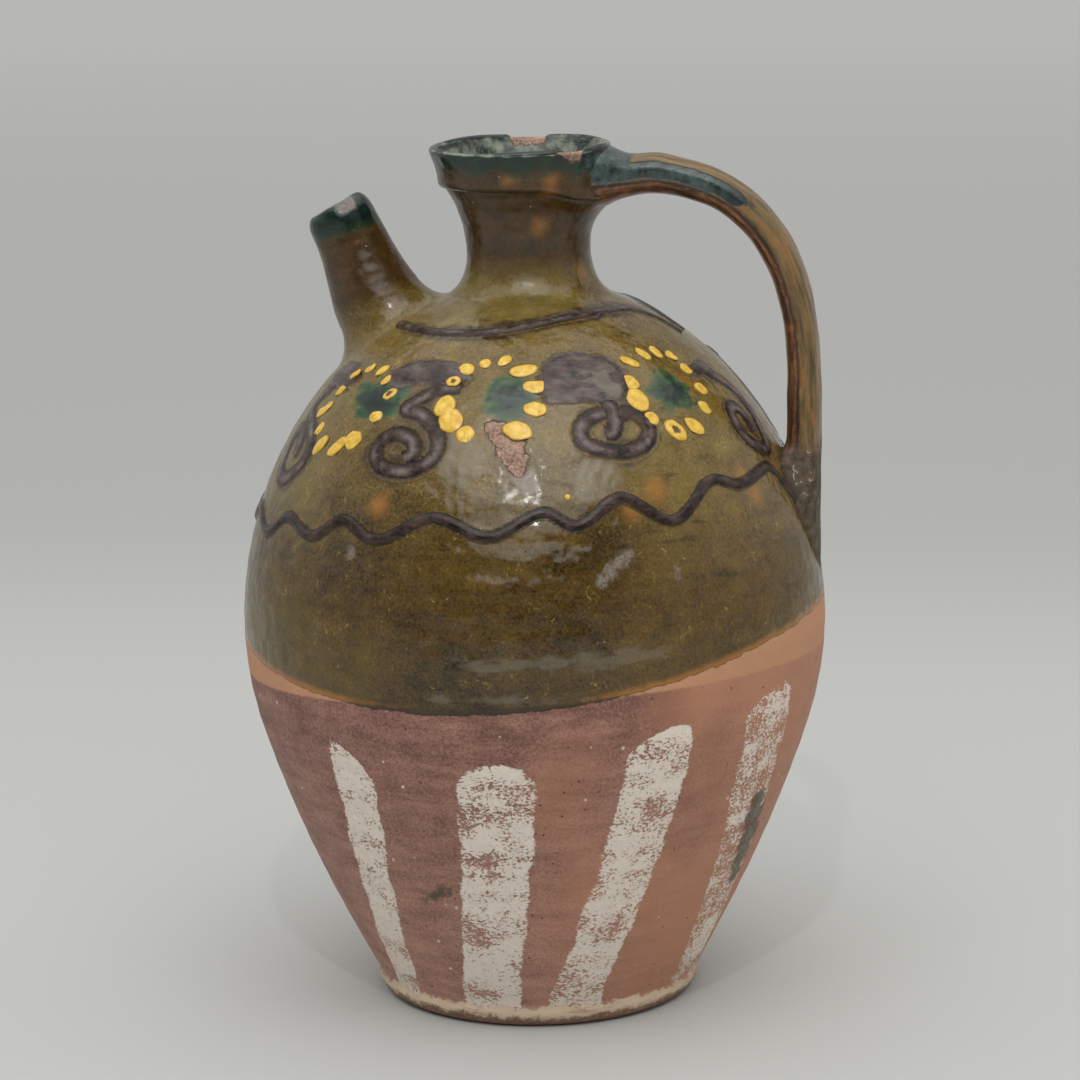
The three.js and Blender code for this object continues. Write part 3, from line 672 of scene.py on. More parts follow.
def neck_marks(points):
    """The marks on the neck: brown below, green on the rim, blue inside it and by the handle, with painted light
    inside.
    """
    azimuth = azimuth_of(points)
    height = points[:, 2]
    radius = radius_of(points)
    from_handle = np.abs(azimuth - HANDLE_SIDE)
    outer_face = np.interp(height, NECK_OUTLINE[:, 1], NECK_OUTLINE[:, 0])
    inner = radius < outer_face - 1.6 - 3 * (from_handle < 60)

    def spread(middle):
        return turn_from(middle, azimuth) * radius

    rust = np.full_like(azimuth, NOWHERE)
    for spot_azimuth, spot_height, spot_radius in COLLAR_SPOTS:
        rust = np.maximum(rust, spot_radius - np.hypot(spread(spot_azimuth), height - spot_height))
    top = height - RIM_HEIGHT
    back_flake = np.minimum(6.8 + 0.4 * top - np.abs(spread(BACK_FLAKE)), top + 3.2)
    front_flake = np.minimum(6.6 + 0.9 * top - np.abs(spread(FRONT_FLAKE) + 0.4 * top), top + 4.4)
    flakes = np.where(inner | (top > -0.8), back_flake, FAR)
    flakes = np.maximum(flakes, np.where(inner, FAR, front_flake))
    ripple = 1.2 * np.sin(3 * np.radians(azimuth) + 1)
    smear = 5.4 - np.hypot(np.minimum(spread(BLUE_SMEAR) / 2.4, 0), (top + 5.8) / 1.05)
    green_foot = COLLAR_BASE + np.where(inner, 2, 6.6) + 0.5 * ripple
    inner_blue = between(-2.4, 1.2, smooth(points[:, 0], -6, 14))
    return {
        "glazed": ALL_OVER,
        "browned": height - BROWN_FOOT,
        "greened": 0.9 * (height - green_foot) + 1.8 * lumps(points, 4.5),
        "blued": np.where(inner, inner_blue, np.where(from_handle < 62, smear, FAR)),
        "rusted": np.where(inner, FAR, rust),
        "flaked": flakes + 1.3 * lumps(points, 2.2),
        # Inside, half the glaze is painted lighter as painted light in the shade; outside, a worn line runs along the
        # lip.
        "wear_and_painted_light": np.where(inner, 0, 0.2 - np.abs(top + 1.2 + 0.8 * np.cos(np.radians(azimuth)))),
    }


ROOT_FILLET = 3.4
RIM_FLAKE_DEPTH = 0.9


def make_neck():
    lip = LIP_RADIUS
    edge = NECK_OUTLINE[-1]
    bend = np.linspace(0, np.pi, 9)[1:]
    round_lip = np.stack([edge[0] - lip + lip * np.cos(bend), edge[1] + lip * np.sin(bend)], -1)
    heights = np.linspace(COLLAR_BASE, NECK_SEAT, 20)
    inside = np.stack([neck_radius(heights, NECK_WALL), heights], -1)
    foot = [(NECK_BASE_RADIUS - NECK_WALL, NECK_SEAT - 2), (NECK_SKIRT_RADIUS - 1, SKIRT_HEIGHT - 1.5)]
    inside = even_outline(np.vstack([round_lip[-1:], inside]), 1.6)[1:]
    rings = turned(np.vstack([even_outline(NECK_OUTLINE, 1.1), round_lip, inside, foot]), NECK_SIDES)
    height = rings[..., 2].copy()
    turn = np.radians(azimuth_of(rings))
    free = smooth(height, NECK_SEAT + 2, WAIST_HEIGHT + 8)
    collar = smooth(height, COLLAR_BASE - 6, COLLAR_BASE + 4)
    thrown = 0.35 * np.sin(2 * turn + 0.4) + 0.06 * np.sin(height * 0.9 + turn)
    to_spout = 1 - np.sin(turn)
    swell = free * thrown + 0.7 * collar * to_spout + 0.45 * free * (1 - collar) * to_spout
    above_root = smooth(height, COLLAR_BASE - 2, COLLAR_BASE + 2)
    under_root = smooth(height, COLLAR_BASE - 15, COLLAR_BASE - 3) * (1 - above_root)
    swell += ROOT_FILLET * under_root * np.maximum(np.sin(turn), 0) ** 4
    rings = swollen(rings, swell)
    uneven = 0.3 * np.sin(2 * turn) + 0.25 * np.sin(5 * turn + 1) - 0.8 * np.cos(turn) + 0.5 * np.sin(turn)
    rings[..., 2] += smooth(height, COLLAR_BASE + 6, RIM_HEIGHT) * uneven
    rings = pressed(rings)
    flaked = neck_marks(rings.reshape(-1, 3))["flaked"].reshape(rings.shape[:2])
    depth = RIM_FLAKE_DEPTH * smooth(flaked, -0.4, 1)
    rings[..., 2] -= depth * smooth(rings[..., 2], RIM_HEIGHT - 3, RIM_HEIGHT)
    mesh = skin("neck_clay", rings, True)
    mark(mesh, **neck_marks(places_of(mesh)))
    return set_out("neck_clay", mesh)


# The spout, its lip worn round

LIP_FALL = 6.5
LIP_INSET = 1.0
CHIP_DEPTH = 0.7


def make_spout():
    foot = SPOUT_BASE_RADIUS + SPOUT_FILLET
    bore = SPOUT_TIP_RADIUS - SPOUT_WALL
    bend = np.linspace(0, np.pi / 2, 16)
    rings = [spout_ring(foot + 0.6, -0.9, 1)]
    for a in bend:
        rise = SPOUT_FILLET_RISE * (1 - math.cos(a)) - 0.04
        rings.append(spout_ring(foot - SPOUT_FILLET * math.sin(a), rise, 1))
    for share in np.linspace(0, 1, 26)[1:]:
        radius = between(SPOUT_BASE_RADIUS, SPOUT_TIP_RADIUS, 1 - (1 - share) ** 1.7)
        rise = between(SPOUT_FILLET_RISE, SPOUT_LENGTH - LIP_FALL, share)
        rings.append(spout_ring(radius, rise, 1 - smooth(share, 0, 1)))
    for a in np.linspace(0, np.pi / 2, 8)[1:]:
        radius = bore + LIP_INSET + (SPOUT_WALL - LIP_INSET) * math.cos(a)
        rings.append(spout_ring(radius, SPOUT_LENGTH - LIP_FALL * (1 - math.sin(a)), 0))
    for a in np.linspace(0, np.pi / 2, 5)[1:]:
        radius = bore + LIP_INSET * (1 - math.sin(a))
        rings.append(spout_ring(radius, SPOUT_LENGTH - LIP_INSET * (1 - math.cos(a)), 0))
    for share in np.linspace(0, 1, 14)[1:]:
        radius = between(bore, POUR_HOLE_RADIUS + 0.4, share)
        rings.append(spout_ring(radius, between(SPOUT_LENGTH - LIP_INSET, -1, share), smooth(share, 0, 1)))
    rings.append(spout_ring(foot - 4, -2.2, 1))
    rings = np.array(rings)
    along = (rings - SPOUT_ROOT) @ SPOUT_AXIS
    bent = 0.7 * np.sin(along * 0.13) * smooth(along, 4, 12)
    rings += SPOUT_ASIDE * bent[..., None]
    chipped = spout_marks(rings.reshape(-1, 3))["scuffed"].reshape(rings.shape[:2])
    rings += (SPOUT_ASIDE * 0.3 - SPOUT_AXIS) * (CHIP_DEPTH * smooth(chipped, 0.3, 1.8))[..., None]
    mesh = skin("spout_clay", rings, True)
    mark(mesh, **spout_marks(places_of(mesh)))
    return set_out("spout_clay", mesh)


def spout_marks(points):
    """The marks on the spout: brown up to its green tip, worn and chipped at the lip."""
    along = (points - SPOUT_ROOT) @ SPOUT_AXIS
    aside = (points - SPOUT_ROOT) @ SPOUT_ASIDE
    across = (points - SPOUT_ROOT) @ SPOUT_ACROSS
    turn = np.arctan2(across, aside)
    chip = SPOUT_ROOT + SPOUT_AXIS * (SPOUT_LENGTH - 1) - SPOUT_ASIDE * 5.6 + SPOUT_ACROSS * 8
    return {
        "glazed": ALL_OVER,
        "browned": along - 9,
        "greened": 1.6 * (along - SPOUT_LENGTH + 10 - 0.18 * aside),
        "rusted": -2 - np.hypot(along - 30, (turn - 1.9) * 12),
        "scuffed": 3.6 - np.linalg.norm(points - chip, axis=1) + 1.2 * lumps(points, 2.4),
        "wear_and_painted_light": 0.2 - np.abs(along - SPOUT_LENGTH + aside * math.tan(SPOUT_BEVEL)),
    }


# The pulled strap handle

HANDLE_RINGS = 190
HANDLE_SIDES = 72
BELLY_JOIN_TOP = 225
NECK_JOIN_FOOT = 255
WEB_DEPTH = 3.2
WEB_FOOT = 189
WEB_TOP = 199
BLUE_RUN_END = 44
CREASE_TURN = 100
CREASE_WIDTH = 9
CREASE_DEPTH = 0.075
STRAP_TURN = np.arange(HANDLE_SIDES) * (2 * np.pi / HANDLE_SIDES)
FROM_TOP = np.degrees(np.minimum(STRAP_TURN, 2 * np.pi - STRAP_TURN))


def handle_line():
    """The middle of the strap, as distance from the jug's middle and height: out of the collar, over and down."""
    start = np.array([NECK_WAIST_RADIUS, HANDLE_ROOT_HEIGHT])
    over = np.array([between(NECK_WAIST_RADIUS, HANDLE_REACH, 0.72), HANDLE_ROOT_HEIGHT])
    bend = np.array([HANDLE_REACH, between(HANDLE_BEND_HEIGHT, HANDLE_ROOT_HEIGHT, 0.77)])
    down = np.array([HANDLE_REACH, HANDLE_BEND_HEIGHT])
    t = np.linspace(0, 1, 400)[:, None]
    arch = start * (1 - t) ** 3 + 3 * over * t * (1 - t) ** 2 + 3 * bend * t ** 2 * (1 - t) + down * t ** 3
    line = np.vstack([arch, [(HANDLE_REACH, HANDLE_TAIL_HEIGHT)]])
    line = line[line[:, 0] > NECK_TOP_RADIUS - 2.6]
    return even_outline(line, np.hypot(*np.diff(line, axis=0).T).sum() / (HANDLE_RINGS - 1))


def strap_rings(line, pull):
    """Rings round the strap: broad at its root, thick over the arch, creased along its sides and thin at the tail.
    With them go how far each point lies aside of the strap's line, and how far down the tail each ring is."""
    along = np.gradient(line, axis=0)
    along /= np.linalg.norm(along, axis=1, keepdims=True)
    root = np.exp(-np.maximum(line[:, 0] - NECK_TOP_RADIUS, 0) / 6.5)
    lowered = (HANDLE_BEND_HEIGHT - line[:, 1]) / (HANDLE_BEND_HEIGHT - HANDLE_TAIL_HEIGHT)
    join = smooth(lowered, 0, 0.45)
    tail = smooth(lowered, 0.45, 1)
    arch = smooth(line[:, 0], 32, 46) * (1 - smooth(line[:, 0], 62, 90))
    width = between(HANDLE_WIDTH + 16 * root + 5 * join, 11, tail) + 0.5 * np.sin(pull * 0.083 + 2)
    thickness = between(HANDLE_THICKNESS + 0.8 + 1.2 * arch + 8.4 * root, HANDLE_THICKNESS + 0.4, tail)
    thickness = thickness + 0.3 * np.sin(pull * 0.11) + 0.15 * np.sin(pull * 0.37 + 1)
    web = WEB_DEPTH * (1 - smooth(line[:, 1], WEB_FOOT, WEB_TOP))
    width, thickness, root, tail, arch, web = (row[:, None] for row in (width, thickness, root, tail, arch, web))

    rounded_face = np.sign(np.cos(STRAP_TURN)) * np.abs(np.cos(STRAP_TURN)) ** 0.72
    rounded_side = np.sign(np.sin(STRAP_TURN)) * np.abs(np.sin(STRAP_TURN)) ** 0.8
    ridges = 0.12 * np.cos(2.4 * np.pi * rounded_side) * np.maximum(np.cos(STRAP_TURN), 0)
    crease = 1 - CREASE_DEPTH * np.exp(-((FROM_TOP - CREASE_TURN) / CREASE_WIDTH) ** 2)
    off = thickness / 2 * rounded_face + ridges * (1 - root) + web * np.minimum(rounded_face, 0)
    aside = width / 2 * rounded_side * between(1, crease, (1 - root) * (1 - tail))
    x = line[:, :1] - along[:, 1:] * off
    z = line[:, 1:] + along[:, :1] * off - 0.3 * root + 1.9 * arch
    x = x - root * (NECK_TOP_RADIUS - np.sqrt(np.maximum(NECK_TOP_RADIUS ** 2 - aside ** 2, 0)))
    sway = 0.5 * np.sin(pull * 0.02 + 0.5)[:, None] * (1 - root)
    return np.stack([x, -aside + sway, z], -1), aside, tail


def luted(rings, aside, tail):
    """The strap's rings with their edges smeared out on the belly, and none of the clay inside the jug."""
    radius = radius_of(rings)
    height = rings[..., 2]
    wall = wall_radius(np.clip(height, FOOT_HEIGHT, NECK_SEAT - 4))
    near_wall = np.where(height < BELLY_JOIN_TOP, 1 - smooth(radius - wall, -1.5, 9), 0)
    neck_face = np.interp(height, NECK_OUTLINE[:, 1], NECK_OUTLINE[:, 0])
    push = COLLAR_PRESS * smooth(height, PRESS_FOOT, RIM_HEIGHT)
    neck_face = neck_face - push * (rings[..., 0] / radius) ** 2
    outwards = np.sign(rings[..., 1]) * np.minimum(np.abs(aside) / 4, 1)
    rings[..., 1] += outwards * between(5.5, 2, tail) * near_wall ** 2
    radius = radius_of(rings)
    floor = np.where(height > NECK_JOIN_FOOT, neck_face - 2.6, 0)
    floor = np.where(height < BELLY_JOIN_TOP, wall - 3, floor)
    rings[..., :2] *= (np.maximum(radius, floor) / radius)[..., None]
    return rings


def make_handle():
    line = handle_line()
    pull = np.cumsum(np.linalg.norm(np.gradient(line, axis=0), axis=1))
    mesh = skin("handle_clay", luted(*strap_rings(line, pull)), False)
    run = np.append(np.repeat(pull, HANDLE_SIDES), [0, pull[-1]])
    around = np.append(np.tile(np.where(STRAP_TURN < np.pi, FROM_TOP, -FROM_TOP), len(line)), [0, 0])
    streak = 4.2 - np.hypot((around - 74) * 0.2, np.maximum(run - 46, 0) * 0.7)
    smear = np.minimum((11 - run) * 0.6, (74 - np.abs(around)) * 0.12)
    blued = np.maximum(streak, smear)
    mark(mesh, glazed=ALL_OVER, run=run, around=around, blued=blued, pooled=run - BLUE_RUN_END)
    return set_out("handle_clay", mesh)


# Trailed slip: a path with the wall's normal and the bead's girth on it, swept with a rounded bead

SLIP_BED = 0.1


def slip_path(name, runs, greyed):
    """Lines of points to trail slip along, with the wall's direction, girth and painted crown highlight on each point.
    """
    points, normals, girths, edges = [], [], [], []
    for azimuth, height, girth in runs:
        place, normal = on_wall(azimuth, height)
        first = len(points)
        points.extend((place - SLIP_BED * normal).tolist())
        normals.extend(normal)
        girths.extend(girth)
        edges.extend((i, i + 1) for i in range(first, len(points) - 1))
    mesh = bpy.data.meshes.new(name)
    mesh.from_pydata((np.array(points) * MM).tolist(), edges, [])
    note(mesh, lift=normals, girth=girths, greyed=greyed)
    return set_out(name, mesh)


def hand_girth(count, start, end, seed):
    """The bead's girth along a stroke: thin where the trailer touches down and lifts, uneven between."""
    share = np.linspace(0, 1, count)
    uneven = 1 + 0.13 * np.sin(share * count * 0.14 + seed) + 0.09 * np.sin(share * count * 0.37 + 2 * seed)
    tips = np.clip(np.minimum(share, 1 - share) * count / 9, 0.02, 1) ** 0.6
    return uneven * tips * between(start, 1, smooth(share, 0.02, 0.3)) * between(1, end, smooth(share, 0.7, 1))


def wave_run():
    """The wavy line all round the belly, easing from each crest to the next trough."""
    back = [mirrored(turn) for turn in reversed(WAVE_TURNS)]
    back = [(azimuth - 360, height) for azimuth, height in back]
    under_spout = [(-98, 171.5), (-90, 176.5), (-82, 171.5)]
    turns = np.array(sorted(back + under_spout + WAVE_TURNS))
    azimuth = np.arange(turns[0, 0], turns[-1, 0], 0.7)
    span = np.clip(np.searchsorted(turns[:, 0], azimuth, "right") - 1, 0, len(turns) - 2)
    share = (azimuth - turns[span, 0]) / (turns[span + 1, 0] - turns[span, 0])
    height = between(turns[span, 1], turns[span + 1, 1], smooth(share, 0, 1))
    return azimuth, height, hand_girth(len(azimuth), 1, 1, 0.7)


def swag_run(back):
    """The line round the foot of the neck."""
    line = eased(SWAG_TURNS, 14)
    azimuth, radius = line[:, 0], line[:, 1]
    height = shoulder_height(radius)
    return (180 - azimuth if back else azimuth), height, hand_girth(len(line), 0.6, 0.3, 1.9)


def scroll_runs(number, back):
    """The strokes of one scroll, laid out on the wall."""
    place = mirrored(SCROLLS[number]) if back else SCROLLS[number]
    runs = []
    for stroke in STROKES[number]:
        line = eased(stroke, 9)
        azimuth, height = beside(place, -line[:, 0] if back else line[:, 0], line[:, 1])
        runs.append((azimuth, height, hand_girth(len(line), 0.8, 0.7, number)))
    return runs


def add(tree, kind, inputs, output=0, **settings):
    """Adds a node with its settings and links, and gives one of its outputs, if it has any."""
    node = tree.nodes.new(kind)
    for name, value in settings.items():
        setattr(node, name, value)
    for key, value in inputs.items():
        if isinstance(value, bpy.types.NodeSocket):
            tree.links.new(value, node.inputs[key])
        else:
            node.inputs[key].default_value = value
    return node.outputs[output] if node.outputs else None


def new_recipe(name, sizes):
    """An empty Geometry Nodes tree with named sizes, and its input and output nodes."""
    tree = bpy.data.node_groups.new(name, "GeometryNodeTree")
    tree.interface.new_socket("Geometry", in_out="INPUT", socket_type="NodeSocketGeometry")
    for size in sizes:
        tree.interface.new_socket(size, in_out="INPUT", socket_type="NodeSocketFloat")
    tree.interface.new_socket("Finish", in_out="INPUT", socket_type="NodeSocketMaterial")
    tree.interface.new_socket("Geometry", in_out="OUTPUT", socket_type="NodeSocketGeometry")
    return tree, tree.nodes.new("NodeGroupInput").outputs, tree.nodes.new("NodeGroupOutput").inputs


def follow_recipe(piece, tree, **values):
    """Runs a tree on a piece with these inputs, and leaves the plain mesh."""
    modifier = piece.modifiers.new(tree.name, "NODES")
    modifier.node_group = tree
    for item in tree.interface.items_tree:
        name = item.name.lower().replace(" ", "_")
        if item.in_out == "INPUT" and name in values:
            modifier[item.identifier] = values[name]
    plain(piece)
    return piece


def slip_bead_recipe():
    """A trail of slip along a path: a round crown that thins out to nothing at its edges, and an underside sunk in
    the wall."""
    tree, given, made = new_recipe("slip bead", ["Half width", "Rise"])
    lift = add(tree, "GeometryNodeInputNamedAttribute", {"Name": "lift"}, data_type="FLOAT_VECTOR")
    girth = add(tree, "GeometryNodeInputNamedAttribute", {"Name": "girth"}, data_type="FLOAT")
    line = add(tree, "GeometryNodeMeshToCurve", {"Mesh": given["Geometry"]})
    line = add(tree, "GeometryNodeSetCurveNormal", {"Curve": line, "Normal": lift}, mode="FREE")
    line = add(tree, "GeometryNodeSetCurveRadius", {"Curve": line, "Radius": girth})
    bead = add(tree, "GeometryNodeCurvePrimitiveCircle", {"Resolution": 28, "Radius": 1.0}, mode="RADIUS")
    up = add(tree, "ShaderNodeSeparateXYZ", {"Vector": add(tree, "GeometryNodeInputPosition", {})}, "X")
    aside = up.node.outputs["Y"]
    across = add(tree, "ShaderNodeMath", {0: aside}, operation="ABSOLUTE")
    bead = add(tree, "GeometryNodeStoreNamedAttribute", {"Geometry": bead, "Name": "across", "Value": across})
    crown = add(tree, "ShaderNodeMath", {0: up, 1: 0.0}, operation="MAXIMUM")
    crown = add(tree, "ShaderNodeMath", {0: crown, 1: 2.2}, operation="POWER")
    sunk = add(tree, "ShaderNodeMath", {0: up, 1: 0.0}, operation="MINIMUM")
    height = add(tree, "ShaderNodeMath", {0: sunk, 1: 0.35, 2: crown}, operation="MULTIPLY_ADD")
    height = add(tree, "ShaderNodeMath", {0: height, 1: given["Rise"]}, operation="MULTIPLY")
    width = add(tree, "ShaderNodeMath", {0: aside, 1: given["Half width"]}, operation="MULTIPLY")
    shape = add(tree, "ShaderNodeCombineXYZ", {"X": height, "Y": width})
    bead = add(tree, "GeometryNodeSetPosition", {"Geometry": bead, "Position": shape})
    swept = add(tree, "GeometryNodeCurveToMesh", {"Curve": line, "Profile Curve": bead, "Fill Caps": True})
    swept = add(tree, "GeometryNodeSetShadeSmooth", {"Geometry": swept, "Shade Smooth": True})
    swept = add(tree, "GeometryNodeRealizeInstances", {"Geometry": swept})
    swept = add(tree, "GeometryNodeSetMaterial", {"Geometry": swept, "Material": given["Finish"]})
    tree.links.new(swept, made["Geometry"])
    return tree


PETAL_STRETCH = 1.18
PETAL_SPREAD = 1.2
DAUB = 0.65


def petal_points(name, back):
    """The middle of each petal, with the wall's direction, its own lean and its size."""
    side = -1 if back else 1
    dabs = [(STRAY_DROP[:2], 0, STRAY_DROP[2], STRAY_DROP[2], 0)]
    for flower, petals in enumerate(PETALS):
        for number, (clock, reach, length, width, lean) in enumerate(petals):
            angle = math.radians(clock)
            place = beside(FLOWERS[flower], reach * math.sin(angle), reach * math.cos(angle))
            brown = (flower, number) in BROWN_DABS
            dabs.append((place, lean, PETAL_STRETCH * length, PETAL_SPREAD * width, brown))
    points, lifts, reaches = [], [], []
    for place, lean, *_ in dabs:
        azimuth, height = mirrored(place) if back else place
        point, normal = on_wall(azimuth, height)
        smear = smooth(smear_depth(np.array([azimuth]), np.array([height])), 0, SMEAR_EDGE)
        turn, tilt = math.radians(azimuth), math.radians(lean)
        east = np.array([math.cos(turn), math.sin(turn), 0])
        north = np.cross(normal, east)
        points.append(point + normal * SMEAR_RISE * smear)
        lifts.append(normal)
        reaches.append(side * math.cos(tilt) * east + math.sin(tilt) * north)
    mesh = bpy.data.meshes.new(name)
    mesh.from_pydata((np.array(points) * MM).tolist(), [], [])
    lengths, widths, browns = ([dab[i] for dab in dabs] for i in (2, 3, 4))
    note(mesh, lift=lifts, reach=reaches, long=np.array(lengths) * MM, wide=np.array(widths) * MM, brown_dab=browns)
    return set_out(name, mesh)


def petal_recipe():
    """A drop of slip on each point, turned and stretched as the point says and daubed uneven."""
    tree, given, made = new_recipe("slip petals", ["Drop height"])
    lift, reach, long, wide = (
        add(tree, "GeometryNodeInputNamedAttribute", {"Name": name}, data_type=kind)
        for name, kind in (("lift", "FLOAT_VECTOR"), ("reach", "FLOAT_VECTOR"), ("long", "FLOAT"), ("wide", "FLOAT"))
    )
    drop = add(tree, "GeometryNodeMeshUVSphere", {"Segments": 28, "Rings": 14, "Radius": 0.5})
    place = add(tree, "GeometryNodeInputPosition", {})
    flat = add(tree, "ShaderNodeVectorMath", {0: place, 1: (2, 2, 0)}, operation="MULTIPLY")
    from_middle = add(tree, "ShaderNodeVectorMath", {0: flat}, "Value", operation="LENGTH")
    drop = add(tree, "GeometryNodeStoreNamedAttribute", {"Geometry": drop, "Name": "from_middle", "Value": from_middle})
    turn = {"Primary Axis": lift, "Secondary Axis": reach}
    turn = add(tree, "FunctionNodeAxesToRotation", turn, primary_axis="Z", secondary_axis="X")
    scale = add(tree, "ShaderNodeCombineXYZ", {"X": long, "Y": wide, "Z": given["Drop height"]})
    drops = {"Points": given["Geometry"], "Instance": drop, "Rotation": turn, "Scale": scale}
    drops = add(tree, "GeometryNodeInstanceOnPoints", drops)
    drops = add(tree, "GeometryNodeRealizeInstances", {"Geometry": drops})
    daub = add(tree, "ShaderNodeTexNoise", {"Scale": per(3.6), "Detail": 2.0}, "Color")
    daub = {0: daub, 1: (2 * DAUB * MM,) * 3, 2: (-DAUB * MM,) * 3}
    daub = add(tree, "ShaderNodeVectorMath", daub, operation="MULTIPLY_ADD")
    drops = add(tree, "GeometryNodeSetPosition", {"Geometry": drops, "Offset": daub})
    drops = add(tree, "GeometryNodeSetShadeSmooth", {"Geometry": drops, "Shade Smooth": True})
    drops = add(tree, "GeometryNodeSetMaterial", {"Geometry": drops, "Material": given["Finish"]})
    tree.links.new(drops, made["Geometry"])
    return tree


# Finishes

NOISE_INPUTS = ("Vector", "Scale", "Detail", "Roughness")
COLOUR_MIX = {"output": 2, "data_type": "RGBA"}
SOFT_STEP = {"interpolation_type": "SMOOTHSTEP"}


def paint(code):
    """A colour written as an sRGB hex value, as the linear light that Blender mixes."""
    channels = [int(code[i:i + 2], 16) / 255 for i in (1, 3, 5)]
    return (*[c / 12.92 if c <= 0.04045 else ((c + 0.055) / 1.055) ** 2.4 for c in channels], 1.0)


def per(size):
    """The texture scale that gives a pattern of so many millimetres."""
    return 1 / (size * MM)


def new_finish(name):
    """An empty material, its tree and the places on a piece that patterns follow."""
    material = bpy.data.materials.new(name)
    material.use_nodes = True
    material.node_tree.nodes.clear()
    at = add(material.node_tree, "ShaderNodeTexCoord", {}, "Object")
    return material, material.node_tree, at


def over(tree, cover, top, under):
    """One coat laid over another: its colour, roughness and relief in millimetres."""
    return (
        add(tree, "ShaderNodeMix", {0: cover, 6: under[0], 7: top[0]}, **COLOUR_MIX),
        add(tree, "ShaderNodeMix", {0: cover, 2: under[1], 3: top[1]}),
        add(tree, "ShaderNodeMix", {0: cover, 2: under[2], 3: top[2]}),
    )


def depth_of(tree, name, ragged, unevenness):
    """How deep points lie in a marked finish, in millimetres, made uneven."""
    depth = add(tree, "ShaderNodeAttribute", {}, "Fac", attribute_name=name)
    uneven = {0: ragged, 1: 2 * unevenness, 2: -unevenness}
    uneven = add(tree, "ShaderNodeMath", uneven, operation="MULTIPLY_ADD")
    return add(tree, "ShaderNodeMath", {0: depth, 1: uneven}, operation="ADD")


def cover_of(tree, name, ragged, unevenness, soft, fullest=1.0):
    """How fully a marked finish covers: its uneven depth, softened over a width in millimetres."""
    depth = depth_of(tree, name, ragged, unevenness)
    cover = add(tree, "ShaderNodeMapRange", {"Value": depth, "From Min": -soft, "From Max": soft}, **SOFT_STEP)
    if fullest < 1:
        cover = add(tree, "ShaderNodeMath", {0: cover, 1: fullest}, operation="MULTIPLY")
    return cover


def fire(tree, coat, ior):
    """Ends a finish: the coat's colour, roughness and relief on the surface."""
    colour, roughness, relief = coat
    normal = add(tree, "ShaderNodeBump", {"Strength": 0.8, "Distance": MM, "Height": relief})
    surface = {"Base Color": colour, "Roughness": roughness, "Normal": normal, "IOR": ior}
    add(tree, "ShaderNodeOutputMaterial", {"Surface": add(tree, "ShaderNodeBsdfPrincipled", surface)})


def specks(tree, at, apart, radius, share):
    """Round specks of a radius, scattered about so many millimetres apart, in a share of the places they could be."""
    cell = add(tree, "ShaderNodeTexVoronoi", {"Vector": at, "Scale": per(apart)}, "Distance")
    edge = radius / apart
    speck = add(tree, "ShaderNodeMapRange", {"Value": cell, "From Min": edge, "From Max": 0.6 * edge})
    chosen = {0: cell.node.outputs["Color"], 1: 1 - share}
    chosen = add(tree, "ShaderNodeMath", chosen, operation="GREATER_THAN")
    return add(tree, "ShaderNodeMath", {0: speck, 1: chosen}, operation="MULTIPLY")


def scratches(tree, at, apart):
    """Short hair scratches, broken off at random."""
    bent = add(tree, "ShaderNodeTexNoise", {"Vector": at, "Scale": per(apart), "Detail": 2.0}, "Color")
    bent = add(tree, "ShaderNodeVectorMath", {0: bent, 1: (apart * MM,) * 3, 2: at}, operation="MULTIPLY_ADD")
    edge = {"Vector": bent, "Scale": per(apart)}
    edge = add(tree, "ShaderNodeTexVoronoi", edge, "Distance", feature="DISTANCE_TO_EDGE")
    line = add(tree, "ShaderNodeMapRange", {"Value": edge, "From Min": 0.2 / apart, "From Max": 0.08 / apart})
    kept = add(tree, "ShaderNodeTexNoise", {"Vector": at, "Scale": per(4), "Detail": 3.0}, "Fac")
    kept = add(tree, "ShaderNodeMapRange", {"Value": kept, "From Min": 0.62, "From Max": 0.7, "To Max": 0.8})
    return add(tree, "ShaderNodeMath", {0: line, 1: kept}, operation="MULTIPLY")


